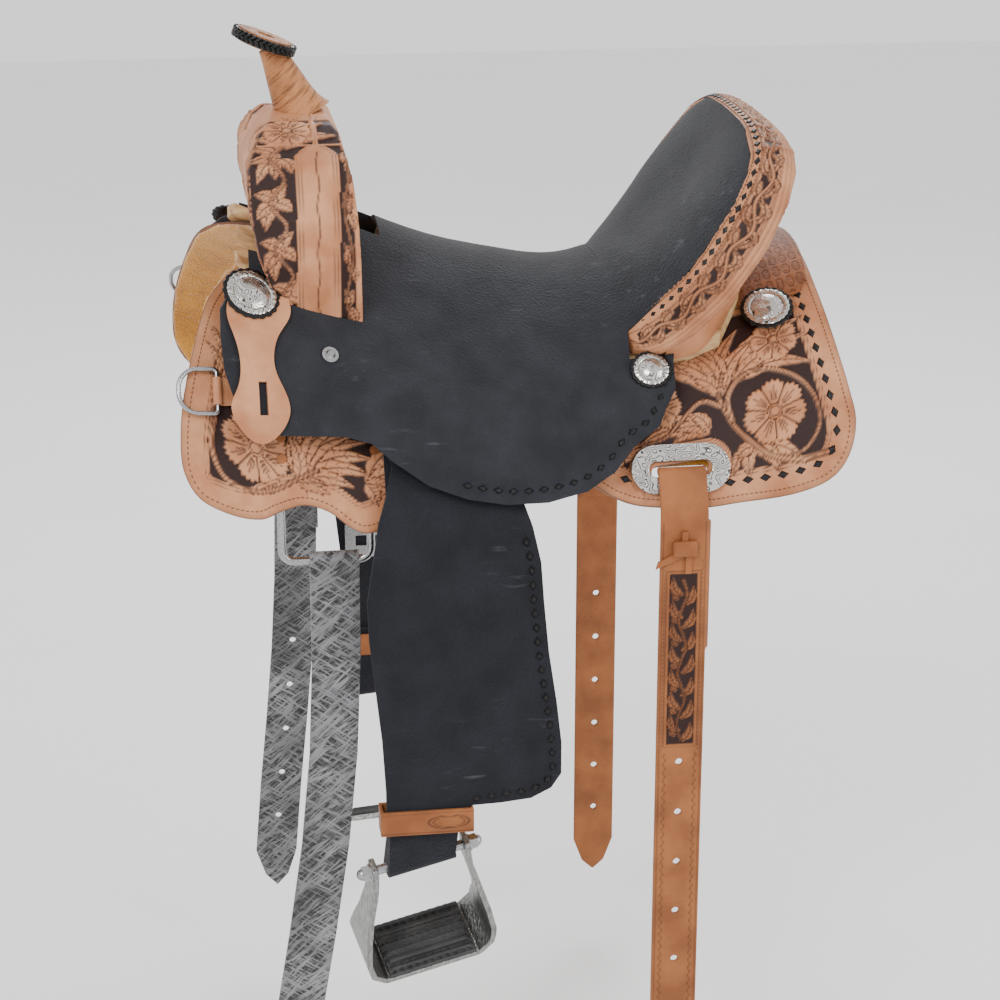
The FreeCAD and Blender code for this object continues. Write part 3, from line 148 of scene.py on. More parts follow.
def runs_of(line):
    """How far along a line each of its points lies."""
    return np.concatenate([[0], np.cumsum(np.linalg.norm(np.diff(line, axis=0), axis=1))])


def spaced(line, pitch):
    """Points every pitch mm along a line, with the direction of the line at each."""
    p = np.array(line, float)
    runs = runs_of(p)
    count = max(int(round(runs[-1] / pitch)), 2)
    wanted = np.linspace(0, runs[-1], count + 1)
    way = at_runs(wanted + 0.5, runs, p) - at_runs(wanted - 0.5, runs, p)
    return at_runs(wanted, runs, p), unit(way)


def finely(loop, step):
    """The same closed outline with extra points at most step apart."""
    out = []
    for a, b in zip(loop, np.roll(loop, -1, 0)):
        parts = max(int(math.ceil(np.linalg.norm(b - a) / step)), 1)
        for k in range(parts):
            out.append(a + (b - a) * k / parts)
    return np.array(out)


def within(points, loop):
    """True where a point lies inside the closed outline."""
    x, y = points[:, 0], points[:, 1]
    found = np.zeros(len(points), bool)
    for (x0, y0), (x1, y1) in zip(loop, np.roll(loop, -1, 0)):
        if y0 == y1:
            continue
        crosses = (y0 > y) != (y1 > y)
        found ^= crosses & (x < (x1 - x0) * (y - y0) / (y1 - y0) + x0)
    return found


def to_line(points, line, closed=False):
    """Distance to a line, and how far along the line the nearest place is."""
    p = np.array(line, float)
    if closed:
        p = np.vstack([p, p[:1]])
    best = np.full(len(points), 1e9)
    place = np.zeros(len(points))
    done = 0.0
    for a, b in zip(p[:-1], p[1:]):
        run = b - a
        length = np.linalg.norm(run)
        if length < TINY:
            continue
        share = np.clip((points - a) @ run / length**2, 0, 1)
        gap = np.linalg.norm(points - a - share[:, None] * run, axis=1)
        nearer = gap < best
        best[nearer] = gap[nearer]
        place[nearer] = done + share[nearer] * length
        done += length
    return best, place


def inset(loop, depth):
    """The outline moved inwards by depth, with its crossings dropped."""
    p = finely(np.array(loop, float), OUTLINE_STEP)
    area = np.sum(p[:, 0] * np.roll(p[:, 1], -1) - p[:, 1] * np.roll(p[:, 0], -1))
    inwards = left_of(np.roll(p, -1, 0) - np.roll(p, 1, 0)) * np.sign(area)
    moved = p + inwards * depth
    gap, _ = to_line(moved, p, closed=True)
    return moved[(gap > depth * 0.97) & within(moved, p)]


# ---- pieces ----


def outward(points, faces):
    """The faces turned so that a closed shell points outwards."""
    a, b, c = points[faces[:, 0]], points[faces[:, 1]], points[faces[:, 2]]
    if np.einsum("ij,ij->i", a, np.cross(b, c)).sum() < 0:
        return faces[:, ::-1]
    return faces


def add_piece(name, points, faces, material, like, angle=40, layers=None, stands_for=()):
    """One mesh piece that rides with the node it is like."""
    mesh = bpy.data.meshes.new(name)
    mesh.from_pydata((np.asarray(points) * MM).tolist(), [], np.asarray(faces).tolist())
    for layer, values in (layers or {}).items():
        attribute = mesh.attributes.new(layer, "FLOAT", "POINT")
        attribute.data.foreach_set("value", np.asarray(values, np.float32))
    mesh.materials.append(material)
    piece = bpy.data.objects.new(name, mesh)
    bpy.context.scene.collection.objects.link(piece)
    return settle(piece, like, angle, stands_for)


def settle(piece, like, angle, stands_for=()):
    """Shades a finished piece, hangs it on its node's body and hides the nodes it stands for."""
    select_only(piece)
    bpy.ops.object.shade_smooth_by_angle(angle=math.radians(angle))
    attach(piece, BODY_OF[like])
    if stands_for:
        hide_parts(*stands_for)
    return piece


def select_only(piece):
    bpy.ops.object.select_all(action="DESELECT")
    piece.select_set(True)
    bpy.context.view_layer.objects.active = piece


def apply_modifier(piece, kind, **settings):
    select_only(piece)
    modifier = piece.modifiers.new(kind.lower(), kind)
    for key, value in settings.items():
        setattr(modifier, key, value)
    bpy.ops.object.modifier_apply(modifier=modifier.name)


def welded(node):
    """A node's points in mm and its triangles, with the doubled points merged."""
    mesh = frame["nodes"][node].data
    points = np.zeros(len(mesh.vertices) * 3)
    mesh.vertices.foreach_get("co", points)
    corners = np.zeros(len(mesh.loops), int)
    mesh.loops.foreach_get("vertex_index", corners)
    points = points.reshape(-1, 3) / MM
    keys = np.round(points, 2)
    _, first, back = np.unique(keys, axis=0, return_index=True, return_inverse=True)
    faces = back.reshape(-1)[corners].reshape(-1, 3)
    whole = (faces[:, 0] != faces[:, 1]) & (faces[:, 1] != faces[:, 2]) & (faces[:, 2] != faces[:, 0])
    return points[first], faces[whole]


def carried(node, material, angle=35, bevel=0.0):
    """A merged and smoothed copy of a node, with its sharp edges eased."""
    points, faces = welded(node)
    piece = add_piece("fine_" + node, points, faces, material, node, angle, stands_for=(node,))
    if bevel:
        select_only(piece)
        apply_modifier(piece, "DECIMATE", decimate_type="DISSOLVE", angle_limit=math.radians(1))
        apply_modifier(piece, "BEVEL", width=bevel * MM, segments=2, limit_method="ANGLE",
                       angle_limit=math.radians(40))
        apply_modifier(piece, "TRIANGULATE")
        bpy.ops.object.shade_smooth_by_angle(angle=math.radians(angle))
    return piece


def worked(node, material, grid, relief, angle=60):
    """A node remade on an even grid, with relief(points, normals) pressed into its faces."""
    points, faces = welded(node)
    piece = add_piece("worked_" + node, points, faces, material, node, angle, stands_for=(node,))
    apply_modifier(piece, "REMESH", mode="VOXEL", voxel_size=grid * MM)
    mesh = piece.data
    place = np.zeros(len(mesh.vertices) * 3)
    mesh.vertices.foreach_get("co", place)
    place = place.reshape(-1, 3) / MM
    normals = np.zeros(len(mesh.vertices) * 3)
    mesh.vertices.foreach_get("normal", normals)
    normals = normals.reshape(-1, 3)
    height, dye = relief(place, normals)
    place = place + normals * height[:, None]
    mesh.vertices.foreach_set("co", (place * MM).ravel())
    attribute = mesh.attributes.new("dye", "FLOAT", "POINT")
    attribute.data.foreach_set("value", dye.astype(np.float32))
    mesh.update()
    if not mesh.materials:
        mesh.materials.append(material)
    select_only(piece)
    bpy.ops.object.shade_smooth_by_angle(angle=math.radians(angle))
    return piece


EDGE_RING = 1.4  # how far from each outline a ring of points follows it


def cut_out(outline, hole, step, fine, fine_step):
    """Flat triangles inside an outline, closer together where fine(points) is true."""
    loops = [finely(np.array(loop, float), OUTLINE_STEP) for loop in (outline, hole)]
    low, high = loops[0].min(0), loops[0].max(0)

    def clear(spots, room):
        gap = np.min([to_line(spots, loop, closed=True)[0] for loop in loops], axis=0)
        return spots[gap > room]
    seeds = []
    for pitch, wanted in ((step, False), (fine_step, True)):
        across = np.arange(low[0] + pitch / 3, high[0], pitch)
        down = np.arange(low[1] + pitch / 3, high[1], pitch)
        spots = np.stack(np.meshgrid(across, down), -1).reshape(-1, 2)
        spots = spots[within(spots, loops[0])]
        seeds.append(clear(spots[fine(spots) == wanted], EDGE_RING + pitch * 0.5))
    for loop in loops:
        normal = left_of(np.roll(loop, -1, 0) - np.roll(loop, 1, 0))
        for way in (-EDGE_RING, EDGE_RING):
            ring = loop + normal * way
            seeds.append(clear(ring[within(ring, loops[0])], EDGE_RING * 0.9))
    spots = np.vstack(loops + seeds)
    edges = []
    start = 0
    for loop in loops:
        count = len(loop)
        edges += [(start + k, start + (k + 1) % count) for k in range(count)]
        start += count
    found = delaunay_2d_cdt([Vector(spot) for spot in spots], edges, [], 1, 1e-5, False)
    flat = np.array([tuple(spot) for spot in found[0]])
    faces = np.array([face for face in found[2] if len(face) == 3])
    middles = flat[faces].mean(1)
    faces = faces[within(middles, loops[0]) & ~within(middles, loops[1])]
    used = np.unique(faces)
    index = np.zeros(len(flat), int)
    index[used] = np.arange(len(used))
    flat, faces = flat[used], index[faces]
    a, b, c = flat[faces[:, 0]], flat[faces[:, 1]], flat[faces[:, 2]]
    turned = (b[:, 0] - a[:, 0]) * (c[:, 1] - a[:, 1]) - (b[:, 1] - a[:, 1]) * (c[:, 0] - a[:, 0])
    faces[turned < 0] = faces[turned < 0][:, ::-1]
    return flat, faces


def thick_sheet(flat, faces, place, top, bottom):
    """Closes flat triangles into a sheet: place(flat, height) gives the points."""
    count = len(flat)
    points = np.vstack([place(flat, top), place(flat, bottom)])
    edges = np.vstack([faces[:, [0, 1]], faces[:, [1, 2]], faces[:, [2, 0]]])
    keys = {tuple(edge) for edge in edges.tolist()}
    rim = np.array([edge for edge in keys if (edge[1], edge[0]) not in keys])
    sides = np.vstack([
        np.stack([rim[:, 1], rim[:, 0], rim[:, 0] + count], -1),
        np.stack([rim[:, 1], rim[:, 0] + count, rim[:, 1] + count], -1),
    ])
    shell = np.vstack([faces, faces[:, ::-1] + count, sides])
    return points, outward(points, shell)


OVAL_POINTS = 40


def oval(across, down, half_across, half_down):
    """A slot with round ends."""
    out = []
    straight = half_across - half_down
    for k in range(OVAL_POINTS):
        angle = 2 * math.pi * (k + 0.5) / OVAL_POINTS
        shift = straight if math.cos(angle) > 0 else -straight
        out.append((across + shift + half_down * math.cos(angle), down + half_down * math.sin(angle)))
    return np.array(out)


# ---- small repeated shapes ----

SUNK = -0.6  # where a lace crossing starts, under the surface


def lozenge(length, width, height):
    """A flat-topped four-sided lace crossing."""
    foot = np.array([(1, 0, 1), (0, 1, 1), (-1, 0, 1), (0, -1, 1)]) * (length / 2, width / 2, SUNK)
    top = foot * (0.55, 0.55, 0) + (0, 0, height)
    faces = [(0, 1, 5), (0, 5, 4), (1, 2, 6), (1, 6, 5), (2, 3, 7), (2, 7, 6), (3, 0, 4), (3, 4, 7),
             (4, 5, 6), (4, 6, 7), (0, 2, 1), (0, 3, 2)]
    return np.vstack([foot, top]), np.array(faces)


def stitch(length, width, height):
    """One thread stitch."""
    rings = []
    for along, size in ((-0.5, 0.25), (-0.3, 0.9), (0.3, 0.9), (0.5, 0.25)):
        for angle in range(6):
            turn = math.pi * angle / 3
            drop = 0.5 * height * size * math.sin(turn)
            rings.append((along * length, 0.5 * width * size * math.cos(turn), height * 0.3 + drop))
    faces = []
    for ring in range(3):
        for k in range(6):
            a, b = ring * 6 + k, ring * 6 + (k + 1) % 6
            faces += [(a, b, b + 6), (a, b + 6, a + 6)]
    faces += [(0, k + 1, k) for k in range(1, 5)]
    faces += [(18, 18 + k, 19 + k) for k in range(1, 5)]
    points = np.array(rings)
    return points, outward(points, np.array(faces))


def scattered(name, shape, spots, ways, normals, material, like):
    """Copies of one shape at spots, along ways and standing on normals, as one piece."""
    base, faces = shape
    normals = unit(normals)
    ways = unit(ways - normals * np.sum(ways * normals, 1)[:, None])
    across = np.cross(normals, ways)
    points = []
    for k in range(len(spots)):
        points.append(spots[k] + base[:, :1] * ways[k] + base[:, 1:2] * across[k] + base[:, 2:] * normals[k])
    all_faces = [faces + k * len(base) for k in range(len(spots))]
    return add_piece(name, np.vstack(points), np.vstack(all_faces), material, like, 30)


def frames_on(place, flat, ways, height):
    """Where points of a flat pattern lie on a surface, with directions and normals."""
    spots = place(flat, height)
    ahead = place(flat + ways * 0.5, height) - spots
    beside = place(flat + left_of(ways) * 0.5, height) - spots
    normals = np.cross(ahead, beside)
    lifted = place(flat, height + 1.0) - spots
    normals *= np.sign(np.sum(normals * lifted, 1))[:, None]
    return spots, ahead, normals


def row_on(name, line, pitch, shape, place, height, material, like):
    """A row of small shapes along a line drawn on a surface."""
    flat, ways = spaced(line, pitch)
    spots, ahead, normals = frames_on(place, flat, ways, height)
    return scattered(name, shape, spots, ahead, normals, material, like)


# ---- materials ----


def shade_of(red, green, blue):
    """A colour as seen on a screen, 0 to 255, as the linear colour a shader takes."""
    return tuple((c / 255 / 12.92) if c < 11 else ((c / 255 + 0.055) / 1.055) ** 2.4
                 for c in (red, green, blue)) + (1.0,)


def put(tree, kind, inputs=None, **settings):
    """One node, its settings, and its inputs given as values or as other nodes' sockets."""
    made = tree.nodes.new(kind)
    for key, value in settings.items():
        setattr(made, key, value)
    for key, value in (inputs or {}).items():
        if isinstance(value, bpy.types.NodeSocket):
            tree.links.new(value, made.inputs[key])
        else:
            made.inputs[key].default_value = value
    return made


def sums(tree, operation, first, second):
    return put(tree, "ShaderNodeMath", {0: first, 1: second}, operation=operation).outputs[0]


def blended(tree, share, first, second):
    """Colour first where share is 0 and second where it is 1."""
    made = put(tree, "ShaderNodeMix", {0: share, 6: first, 7: second}, data_type="RGBA")
    return made.outputs[2]


def stretch(tree, value, low, high, new_low=0.0, new_high=1.0):
    made = put(tree, "ShaderNodeMapRange", {0: value, 1: low, 2: high, 3: new_low, 4: new_high})
    return made.outputs[0]


def noise(tree, place, scale, detail=2.0):
    return put(tree, "ShaderNodeTexNoise", {"Vector": place, "Scale": scale, "Detail": detail}).outputs[0]


def mapped(tree, place, scale=(1.0, 1.0, 1.0), turn=(0.0, 0.0, 0.0)):
    return put(tree, "ShaderNodeMapping", {"Vector": place, "Scale": scale, "Rotation": turn}).outputs[0]


def new_group(name, inputs, outputs):
    group = bpy.data.node_groups.new(name, "ShaderNodeTree")
    for label, kind in inputs:
        group.interface.new_socket(label, in_out="INPUT", socket_type="NodeSocket" + kind)
    for label, kind in outputs:
        group.interface.new_socket(label, in_out="OUTPUT", socket_type="NodeSocket" + kind)
    return group, put(group, "NodeGroupInput").outputs, put(group, "NodeGroupOutput").inputs


def make_hide_grain():
    """Fine pebbled grain and slow patches of a hide."""
    group, given, out = new_group("hide_grain", [("Place", "Vector"), ("Size", "Float")],
                                  [("Height", "Float"), ("Patches", "Float"), ("Specks", "Float")])
    pores = put(group, "ShaderNodeTexVoronoi", {"Vector": given["Place"], "Scale": given["Size"]})
    fibres = noise(group, given["Place"], given["Size"], 3.0)
    patches = noise(group, given["Place"], 26.0, 4.0)
    group.links.new(sums(group, "ADD", pores.outputs["Distance"], fibres), out["Height"])
    group.links.new(stretch(group, patches, 0.35, 0.65), out["Patches"])
    group.links.new(stretch(group, fibres, 0.3, 0.7), out["Specks"])
    return group


def make_scuffs():
    """Short pale scratches that rubbing leaves."""
    group, given, out = new_group("scuffs", [("Place", "Vector"), ("Amount", "Float")],
                                  [("Mask", "Float")])
    marks = noise(group, mapped(group, given["Place"], (30.0, 60.0, 160.0), (0.3, 0.5, 0.2)), 1.0, 5.0)
    thin = stretch(group, marks, 0.62, 0.74)
    patchy = stretch(group, noise(group, given["Place"], 9.0), 0.45, 0.7)
    group.links.new(sums(group, "MULTIPLY", sums(group, "MULTIPLY", thin, patchy), given["Amount"]),
                    out["Mask"])
    return group


HIDE_GRAIN = make_hide_grain()
SCUFFS = make_scuffs()


def blank(name):
    """An empty material with its tree, shader and object position."""
    material = bpy.data.materials.new(name)
    material.use_nodes = True
    tree = material.node_tree
    tree.nodes.clear()
    shader = put(tree, "ShaderNodeBsdfPrincipled")
    put(tree, "ShaderNodeOutputMaterial", {"Surface": shader.outputs[0]})
    place = put(tree, "ShaderNodeTexCoord").outputs["Object"]
    return material, tree, shader, place


def grain_on(tree, place, size):
    return put(tree, "ShaderNodeGroup", {"Place": place, "Size": size}, node_tree=HIDE_GRAIN).outputs


def dressed(tree, shader, colour, rough, height, depth):
    """Gives a shader its colour, its roughness, and a bump that is depth mm deep."""
    tree.links.new(colour, shader.inputs["Base Color"])
    tree.links.new(rough, shader.inputs["Roughness"])
    bump = put(tree, "ShaderNodeBump", {"Height": height, "Distance": depth * MM})
    tree.links.new(bump.outputs[0], shader.inputs["Normal"])


def dyed_leather(name, light, deep, size=900.0, depth=0.25, rough=0.5, creases=0.0):
    """Smooth hide with a dye layer painted on its points, and slanting creases, with painted shade along
    them, if it is stretched.
    """
    material, tree, shader, place = blank(name)
    grain = grain_on(tree, place, size)
    dye = put(tree, "ShaderNodeAttribute", attribute_name="dye").outputs["Fac"]
    hide = blended(tree, grain["Patches"], light, deep)
    hide = blended(tree, sums(tree, "MULTIPLY", grain["Specks"], 0.22), hide, deep)
    relief = grain["Height"]
    if creases:
        folds = noise(tree, mapped(tree, mapped(tree, place, turn=(0.0, 0.75, 0.0)), (36.0, 36.0, 300.0)),
                      1.0, 3.0)
        lines = sums(tree, "MULTIPLY", stretch(tree, folds, 0.5, 0.68), creases)
        # the crease lines are painted darker than the hide: painted shade in the creases, besides their bump
        hide = blended(tree, lines, hide, tuple(0.4 * c for c in deep[:3]) + (1.0,))
        relief = sums(tree, "SUBTRACT", relief, sums(tree, "MULTIPLY", lines, 2.0))
    shader.inputs["Specular IOR Level"].default_value = 0.28
    dressed(tree, shader, blended(tree, dye, hide, DARK_DYE),
            stretch(tree, grain["Specks"], 0, 1, rough - 0.08, rough + 0.1), relief, depth)
    return material


def suede(name, light, deep, size=700.0, depth=0.5, scuff=0.6, sheen=0.25):
    """Rough-out leather: napped, speckled and rubbed."""
    material, tree, shader, place = blank(name)
    grain = grain_on(tree, place, size)
    marks = put(tree, "ShaderNodeGroup", {"Place": place, "Amount": scuff}, node_tree=SCUFFS).outputs
    nap = blended(tree, grain["Patches"], deep, light)
    nap = blended(tree, sums(tree, "MULTIPLY", grain["Specks"], 0.55), nap, light)
    pale = tuple(min(c * 2.6 + 0.02, 1) for c in light[:3]) + (1.0,)
    shader.inputs["Sheen Weight"].default_value = sheen
    shader.inputs["Sheen Roughness"].default_value = 0.5
    shader.inputs["Specular IOR Level"].default_value = 0.25
    dressed(tree, shader, blended(tree, marks["Mask"], nap, pale),
            stretch(tree, grain["Specks"], 0, 1, 0.82, 1.0), grain["Height"], depth)
    return material


def metal(name, light, dark, rough, size, depth, brushed=(1.0, 1.0, 1.0)):
    """Metal with fine brushing or pitting that also dulls it."""
    material, tree, shader, place = blank(name)
    grain = grain_on(tree, mapped(tree, place, brushed), size)
    tone = sums(tree, "MULTIPLY", grain["Specks"], 0.6)
    shader.inputs["Metallic"].default_value = 1.0
    dressed(tree, shader, blended(tree, tone, light, dark),
            stretch(tree, grain["Specks"], 0, 1, rough, rough + 0.15), grain["Height"], depth)
    return material


def engraved_silver(name):
    """Silver with bright-cut scrolls darkened in their grooves."""
    material, tree, shader, place = blank(name)
    swirl = noise(tree, place, 70.0, 1.0)
    lines = sums(tree, "PINGPONG", sums(tree, "MULTIPLY", swirl, 14.0), 0.5)
    cuts = stretch(tree, lines, 0.02, 0.16, 1.0, 0.0)
    fine = grain_on(tree, place, 1400.0)
    tone = blended(tree, cuts, shade_of(214, 211, 206), shade_of(50, 47, 44))
    tone = blended(tree, sums(tree, "MULTIPLY", fine["Specks"], 0.15), tone, shade_of(120, 118, 115))
    shader.inputs["Metallic"].default_value = 1.0
    dressed(tree, shader, tone, stretch(tree, cuts, 0, 1, 0.2, 0.5), sums(tree, "MULTIPLY", cuts, -1.0), 0.5)
    return material


def streaked_latigo(name):
    """Black hide with pale slanting wax strokes."""
    material, tree, shader, place = blank(name)
    masks = []
    for turn, scale in ((0.55, 1.0), (0.8, 0.7), (-0.6, 1.1)):
        pulled = mapped(tree, mapped(tree, place, turn=(0.0, turn, 0.0)), (40.0 * scale, 30.0, 420.0 * scale))
        strokes = put(tree, "ShaderNodeTexNoise", {"Vector": pulled, "Scale": 1.0, "Detail": 4.0,
                                                   "Roughness": 0.65}).outputs[0]
        masks.append(stretch(tree, strokes, 0.5, 0.6))
    both = sums(tree, "MAXIMUM", sums(tree, "MAXIMUM", masks[0], masks[1]), masks[2])
    share = sums(tree, "MULTIPLY", both, stretch(tree, noise(tree, place, 16.0), 0.3, 0.7, 0.3, 0.9))
    colour = blended(tree, share, shade_of(22, 22, 24), shade_of(140, 140, 142))
    dressed(tree, shader, colour, stretch(tree, share, 0, 1, 0.5, 0.62), both, 0.25)
    return material


def ribbed_rubber(name):
    """Black rubber, pitted and dusty."""
    material, tree, shader, place = blank(name)
    grain = grain_on(tree, place, 500.0)
    dust = sums(tree, "MULTIPLY", grain["Patches"], 0.35)
    dressed(tree, shader, blended(tree, dust, shade_of(30, 30, 31), shade_of(78, 78, 78)),
            stretch(tree, grain["Specks"], 0, 1, 0.55, 0.75), grain["Height"], 0.3)
    return material


def tree_wood(name):
    """Pale wood with growth lines."""
    material, tree, shader, place = blank(name)
    rings = noise(tree, mapped(tree, place, (6.0, 60.0, 60.0)), 2.0, 6.0)
    colour = blended(tree, stretch(tree, rings, 0.35, 0.65), shade_of(205, 170, 120), shade_of(150, 108, 66))
    dressed(tree, shader, colour, stretch(tree, rings, 0.3, 0.7, 0.55, 0.7), rings, 0.3)
    return material


DARK_DYE = shade_of(34, 10, 5)
TAN = dyed_leather("tan_skirting", shade_of(196, 138, 100), shade_of(164, 104, 68))
TAN_EDGE = dyed_leather("tan_strap", shade_of(152, 92, 50), shade_of(122, 70, 36))
TAN_NECK = dyed_leather("tan_horn", shade_of(180, 120, 76), shade_of(140, 86, 48), 600.0, 0.5,
                        creases=0.7)
BROWN_THREAD = dyed_leather("brown_thread", shade_of(126, 84, 58), shade_of(96, 60, 40), 1500.0)
BLACK_LACE = dyed_leather("black_lace", shade_of(16, 12, 13), shade_of(8, 6, 7), 700.0, 0.3, 0.28)
BLACK_BRAID = dyed_leather("black_braid", shade_of(20, 17, 17), shade_of(9, 8, 8), 700.0, 0.4, 0.28)
ROUGHOUT = suede("black_roughout", shade_of(38, 39, 44), shade_of(24, 25, 30), 380.0, 0.7, 0.8, 0.08)
FENDER_HIDE = suede("black_fender", shade_of(27, 28, 34), shade_of(15, 16, 21), 380.0, 0.7, 0.8, 0.06)
GREY_LACE = dyed_leather("grey_lace", shade_of(14, 14, 17), shade_of(6, 6, 8), 700.0, 0.3, 0.24)
OCHRE = suede("ochre_lining", shade_of(194, 132, 40), shade_of(148, 92, 18), 420.0, 1.2, 0.2, 0.4)
STRAINER = suede("strainer_hide", shade_of(150, 112, 80), shade_of(116, 82, 56), 500.0, 0.5, 0.3)
SILVER = engraved_silver("engraved_silver")
STEEL = metal("bright_steel", shade_of(176, 176, 178), shade_of(92, 92, 96), 0.2, 800.0, 0.08)
CAST = metal("cast_aluminium", shade_of(158, 158, 156), shade_of(78, 78, 78), 0.34, 420.0, 0.5,
             (1.0, 1.0, 0.25))
LATIGO = streaked_latigo("grey_latigo")
RUBBER = ribbed_rubber("tread_rubber")
WOOD = tree_wood("tree_wood")
FOAM = suede("seat_foam", shade_of(226, 218, 196), shade_of(196, 186, 160), 260.0, 1.0, 0.0, 0.1)

# ---- tooling: motifs pressed into a leather face ----


FIELD_LEVEL = -1.1  # how far a tooled ground is pressed under the leather's face
EDGE_SHADE = 1.7  # how far the dye of the ground creeps up a motif's edge


class Tooling:
    """Height in mm and dye worked into a face at flat places (across, down)."""

    def __init__(self, flat):
        self.flat = flat
        self.across = flat[:, 0]
        self.down = flat[:, 1]
        self.height = np.zeros(len(flat))
        self.dye = np.zeros(len(flat))

    def background(self, where):
        """Presses the ground of a tooled field down and dyes it dark."""
        share = smooth(where)
        self.height += FIELD_LEVEL * share
        self.dye = np.maximum(self.dye, share)

    def raised(self, room, lift=1.0, soft=1.7):
        """room is how far inside a motif each place is."""
        on = room > 0
        dome = smooth(room / soft)
        self.height[on] = (FIELD_LEVEL + (lift - FIELD_LEVEL) * dome)[on] * 0.85
        self.dye[on] = (0.95 * (1 - np.clip(room / EDGE_SHADE, 0, 1)))[on]
        return on

    def cut(self, gap, width=0.8, depth=0.5, dye=0.55, where=1):
        """A knife or stamp line where gap is under width."""
        share = np.clip(1 - np.abs(gap) / width, 0, 1) * where
        self.height -= depth * share
        self.dye = np.maximum(self.dye, dye * np.clip(share * 1.5, 0, 1))

    def leaf(self, root, tip, half, bow=0.12, scallops=4):
        """An acanthus leaf with a stem cut and slanting veins."""
        along_axis = np.subtract(tip, root)
        length = math.hypot(*along_axis)
        way = along_axis / length
        off_u = self.across - root[0]
        off_v = self.down - root[1]
        along = (off_u * way[0] + off_v * way[1]) / length
        share = np.clip(along, 0, 1)
        side = off_v * way[0] - off_u * way[1] - bow * length * np.sin(np.pi * share)
        body = np.sin(np.pi * share**0.72) ** 0.75
        edge = half * body * (0.86 + 0.14 * np.abs(np.cos(scallops * np.pi * share)))
        room = np.where((along > 0) & (along < 1), edge - np.abs(side), -1)
        on = self.raised(room)
        self.cut(side, 1.1, 0.6, 0.85, on * (share < 0.9))
        pitch = max(length / 7, 4.0)
        slant = np.mod(share * length - 1.1 * np.abs(side), pitch) - pitch / 2
        self.cut(slant, 1.0, 0.45, 0.65, on * (np.abs(side) > 0.22 * edge))

    def vine(self, points, width, taper=0.35):
        """A stem with a groove along it."""
        line = flowing(points, 7)
        gap, place = to_line(self.flat, line)
        total = np.linalg.norm(np.diff(line, axis=0), axis=1).sum()
        half = width / 2 * (1 - taper * place / total)
        on = self.raised(half - gap, 0.9, 1.4)
        self.cut(gap - half * 0.35, 0.8, 0.4, 0.7, on)

    def flower(self, centre, radius, petals=7, turn=0.0):
        """A rose with ruffled petals, folds and a stamped heart."""
        off_u = self.across - centre[0]
        off_v = self.down - centre[1]
        reach = np.hypot(off_u, off_v)
        angle = np.arctan2(off_v, off_u) + turn
        phase = np.mod(angle * petals / (2 * np.pi), 1.0) - 0.5
        width = 2 * np.pi / petals
        ruffle = 0.035 * np.cos(phase * 2 * np.pi * 5)
        edge = radius * (1 - 0.9 * np.abs(phase) ** 2.6 + ruffle)
        on = self.raised(edge - reach, 1.2, 2.4)
        cup = np.sin(np.pi * np.clip(reach / radius, 0, 1))
        self.height -= 0.55 * cup * on
        self.cut((0.5 - np.abs(phase)) * width * reach, 1.2, 0.9, 0.9, on * (reach > radius * 0.24))
        for fold, near, far in ((0.0, 0.3, 0.82), (0.17, 0.34, 0.66), (-0.17, 0.34, 0.66)):
            span = on * (reach > near * radius) * (reach < far * radius)
            self.cut((phase - fold) * width * reach, 1.0, 0.5, 0.8, span)
        heart = radius * 0.25
        on = self.raised(heart - reach, 1.4, 2.0)
        self.cut(reach - heart * 0.62, 1.0, 0.6, 0.85, on)

    def fan(self, root, tips, half, bow=0.14):
        """Leaves that spread from one root, outer ones first."""
        order = sorted(tips, key=lambda tip: -math.hypot(tip[0] - root[0], tip[1] - root[1]))
        for tip in order:
            self.leaf(root, tip, half, bow if tip[0] < root[0] else -bow)


# ---- skirts ----

SKIRT = [(-226, 140), (-228, 88), (-234, 80), (-272, 68), (-293, 50), (-307, 15), (-318, -25), (-322, -59),
         (-320, -88), (-306, -114), (-277, -131), (-250, -137), (-231, -131), (-209, -127), (-186, -135),
         (-166, -151), (-148, -157), (-120, -148), (-60, -122), (0, -114), (61, -124), (88, -138),
         (117, -147), (173, -150), (212, -146), (261, -140), (298, -127), (318, -105), (327, -74),
         (323, -44), (316, -7), (309, 35), (306, 58), (296, 66), (290, 140)]
SKIRT_LOW = 0.4
SKIRT_TOP = 5.4
TOP_EDGE = ARC * math.radians(1.2)
STITCH_INSET = 6.5
LACE_INSET = 19
FIELD_INSET = 28
PLATE_AT = (154, ARC * math.radians(58.5))
PLATE_OVAL = (46, 19)  # half sizes of the rear rigging plate
FRONT_SHIFT = 3  # the front field is this much closer to the edge than the rear one
SLOT_OVAL = (28, 6)  # half sizes of the slot behind it
REAR_FIELD = (62, 40)  # the rear field starts behind this x and below this arc
FRONT_FIELD = (-60, 60)  # the front field ends before this x and starts below this arc


def skirt_outline():
    curved = flowing(SKIRT[1:-1], 4)
    line = to_flank([SKIRT[0], *curved, SKIRT[-1]], SKIRT_TOP)
    line[0, 1] = TOP_EDGE
    line[-1, 1] = TOP_EDGE
    return line


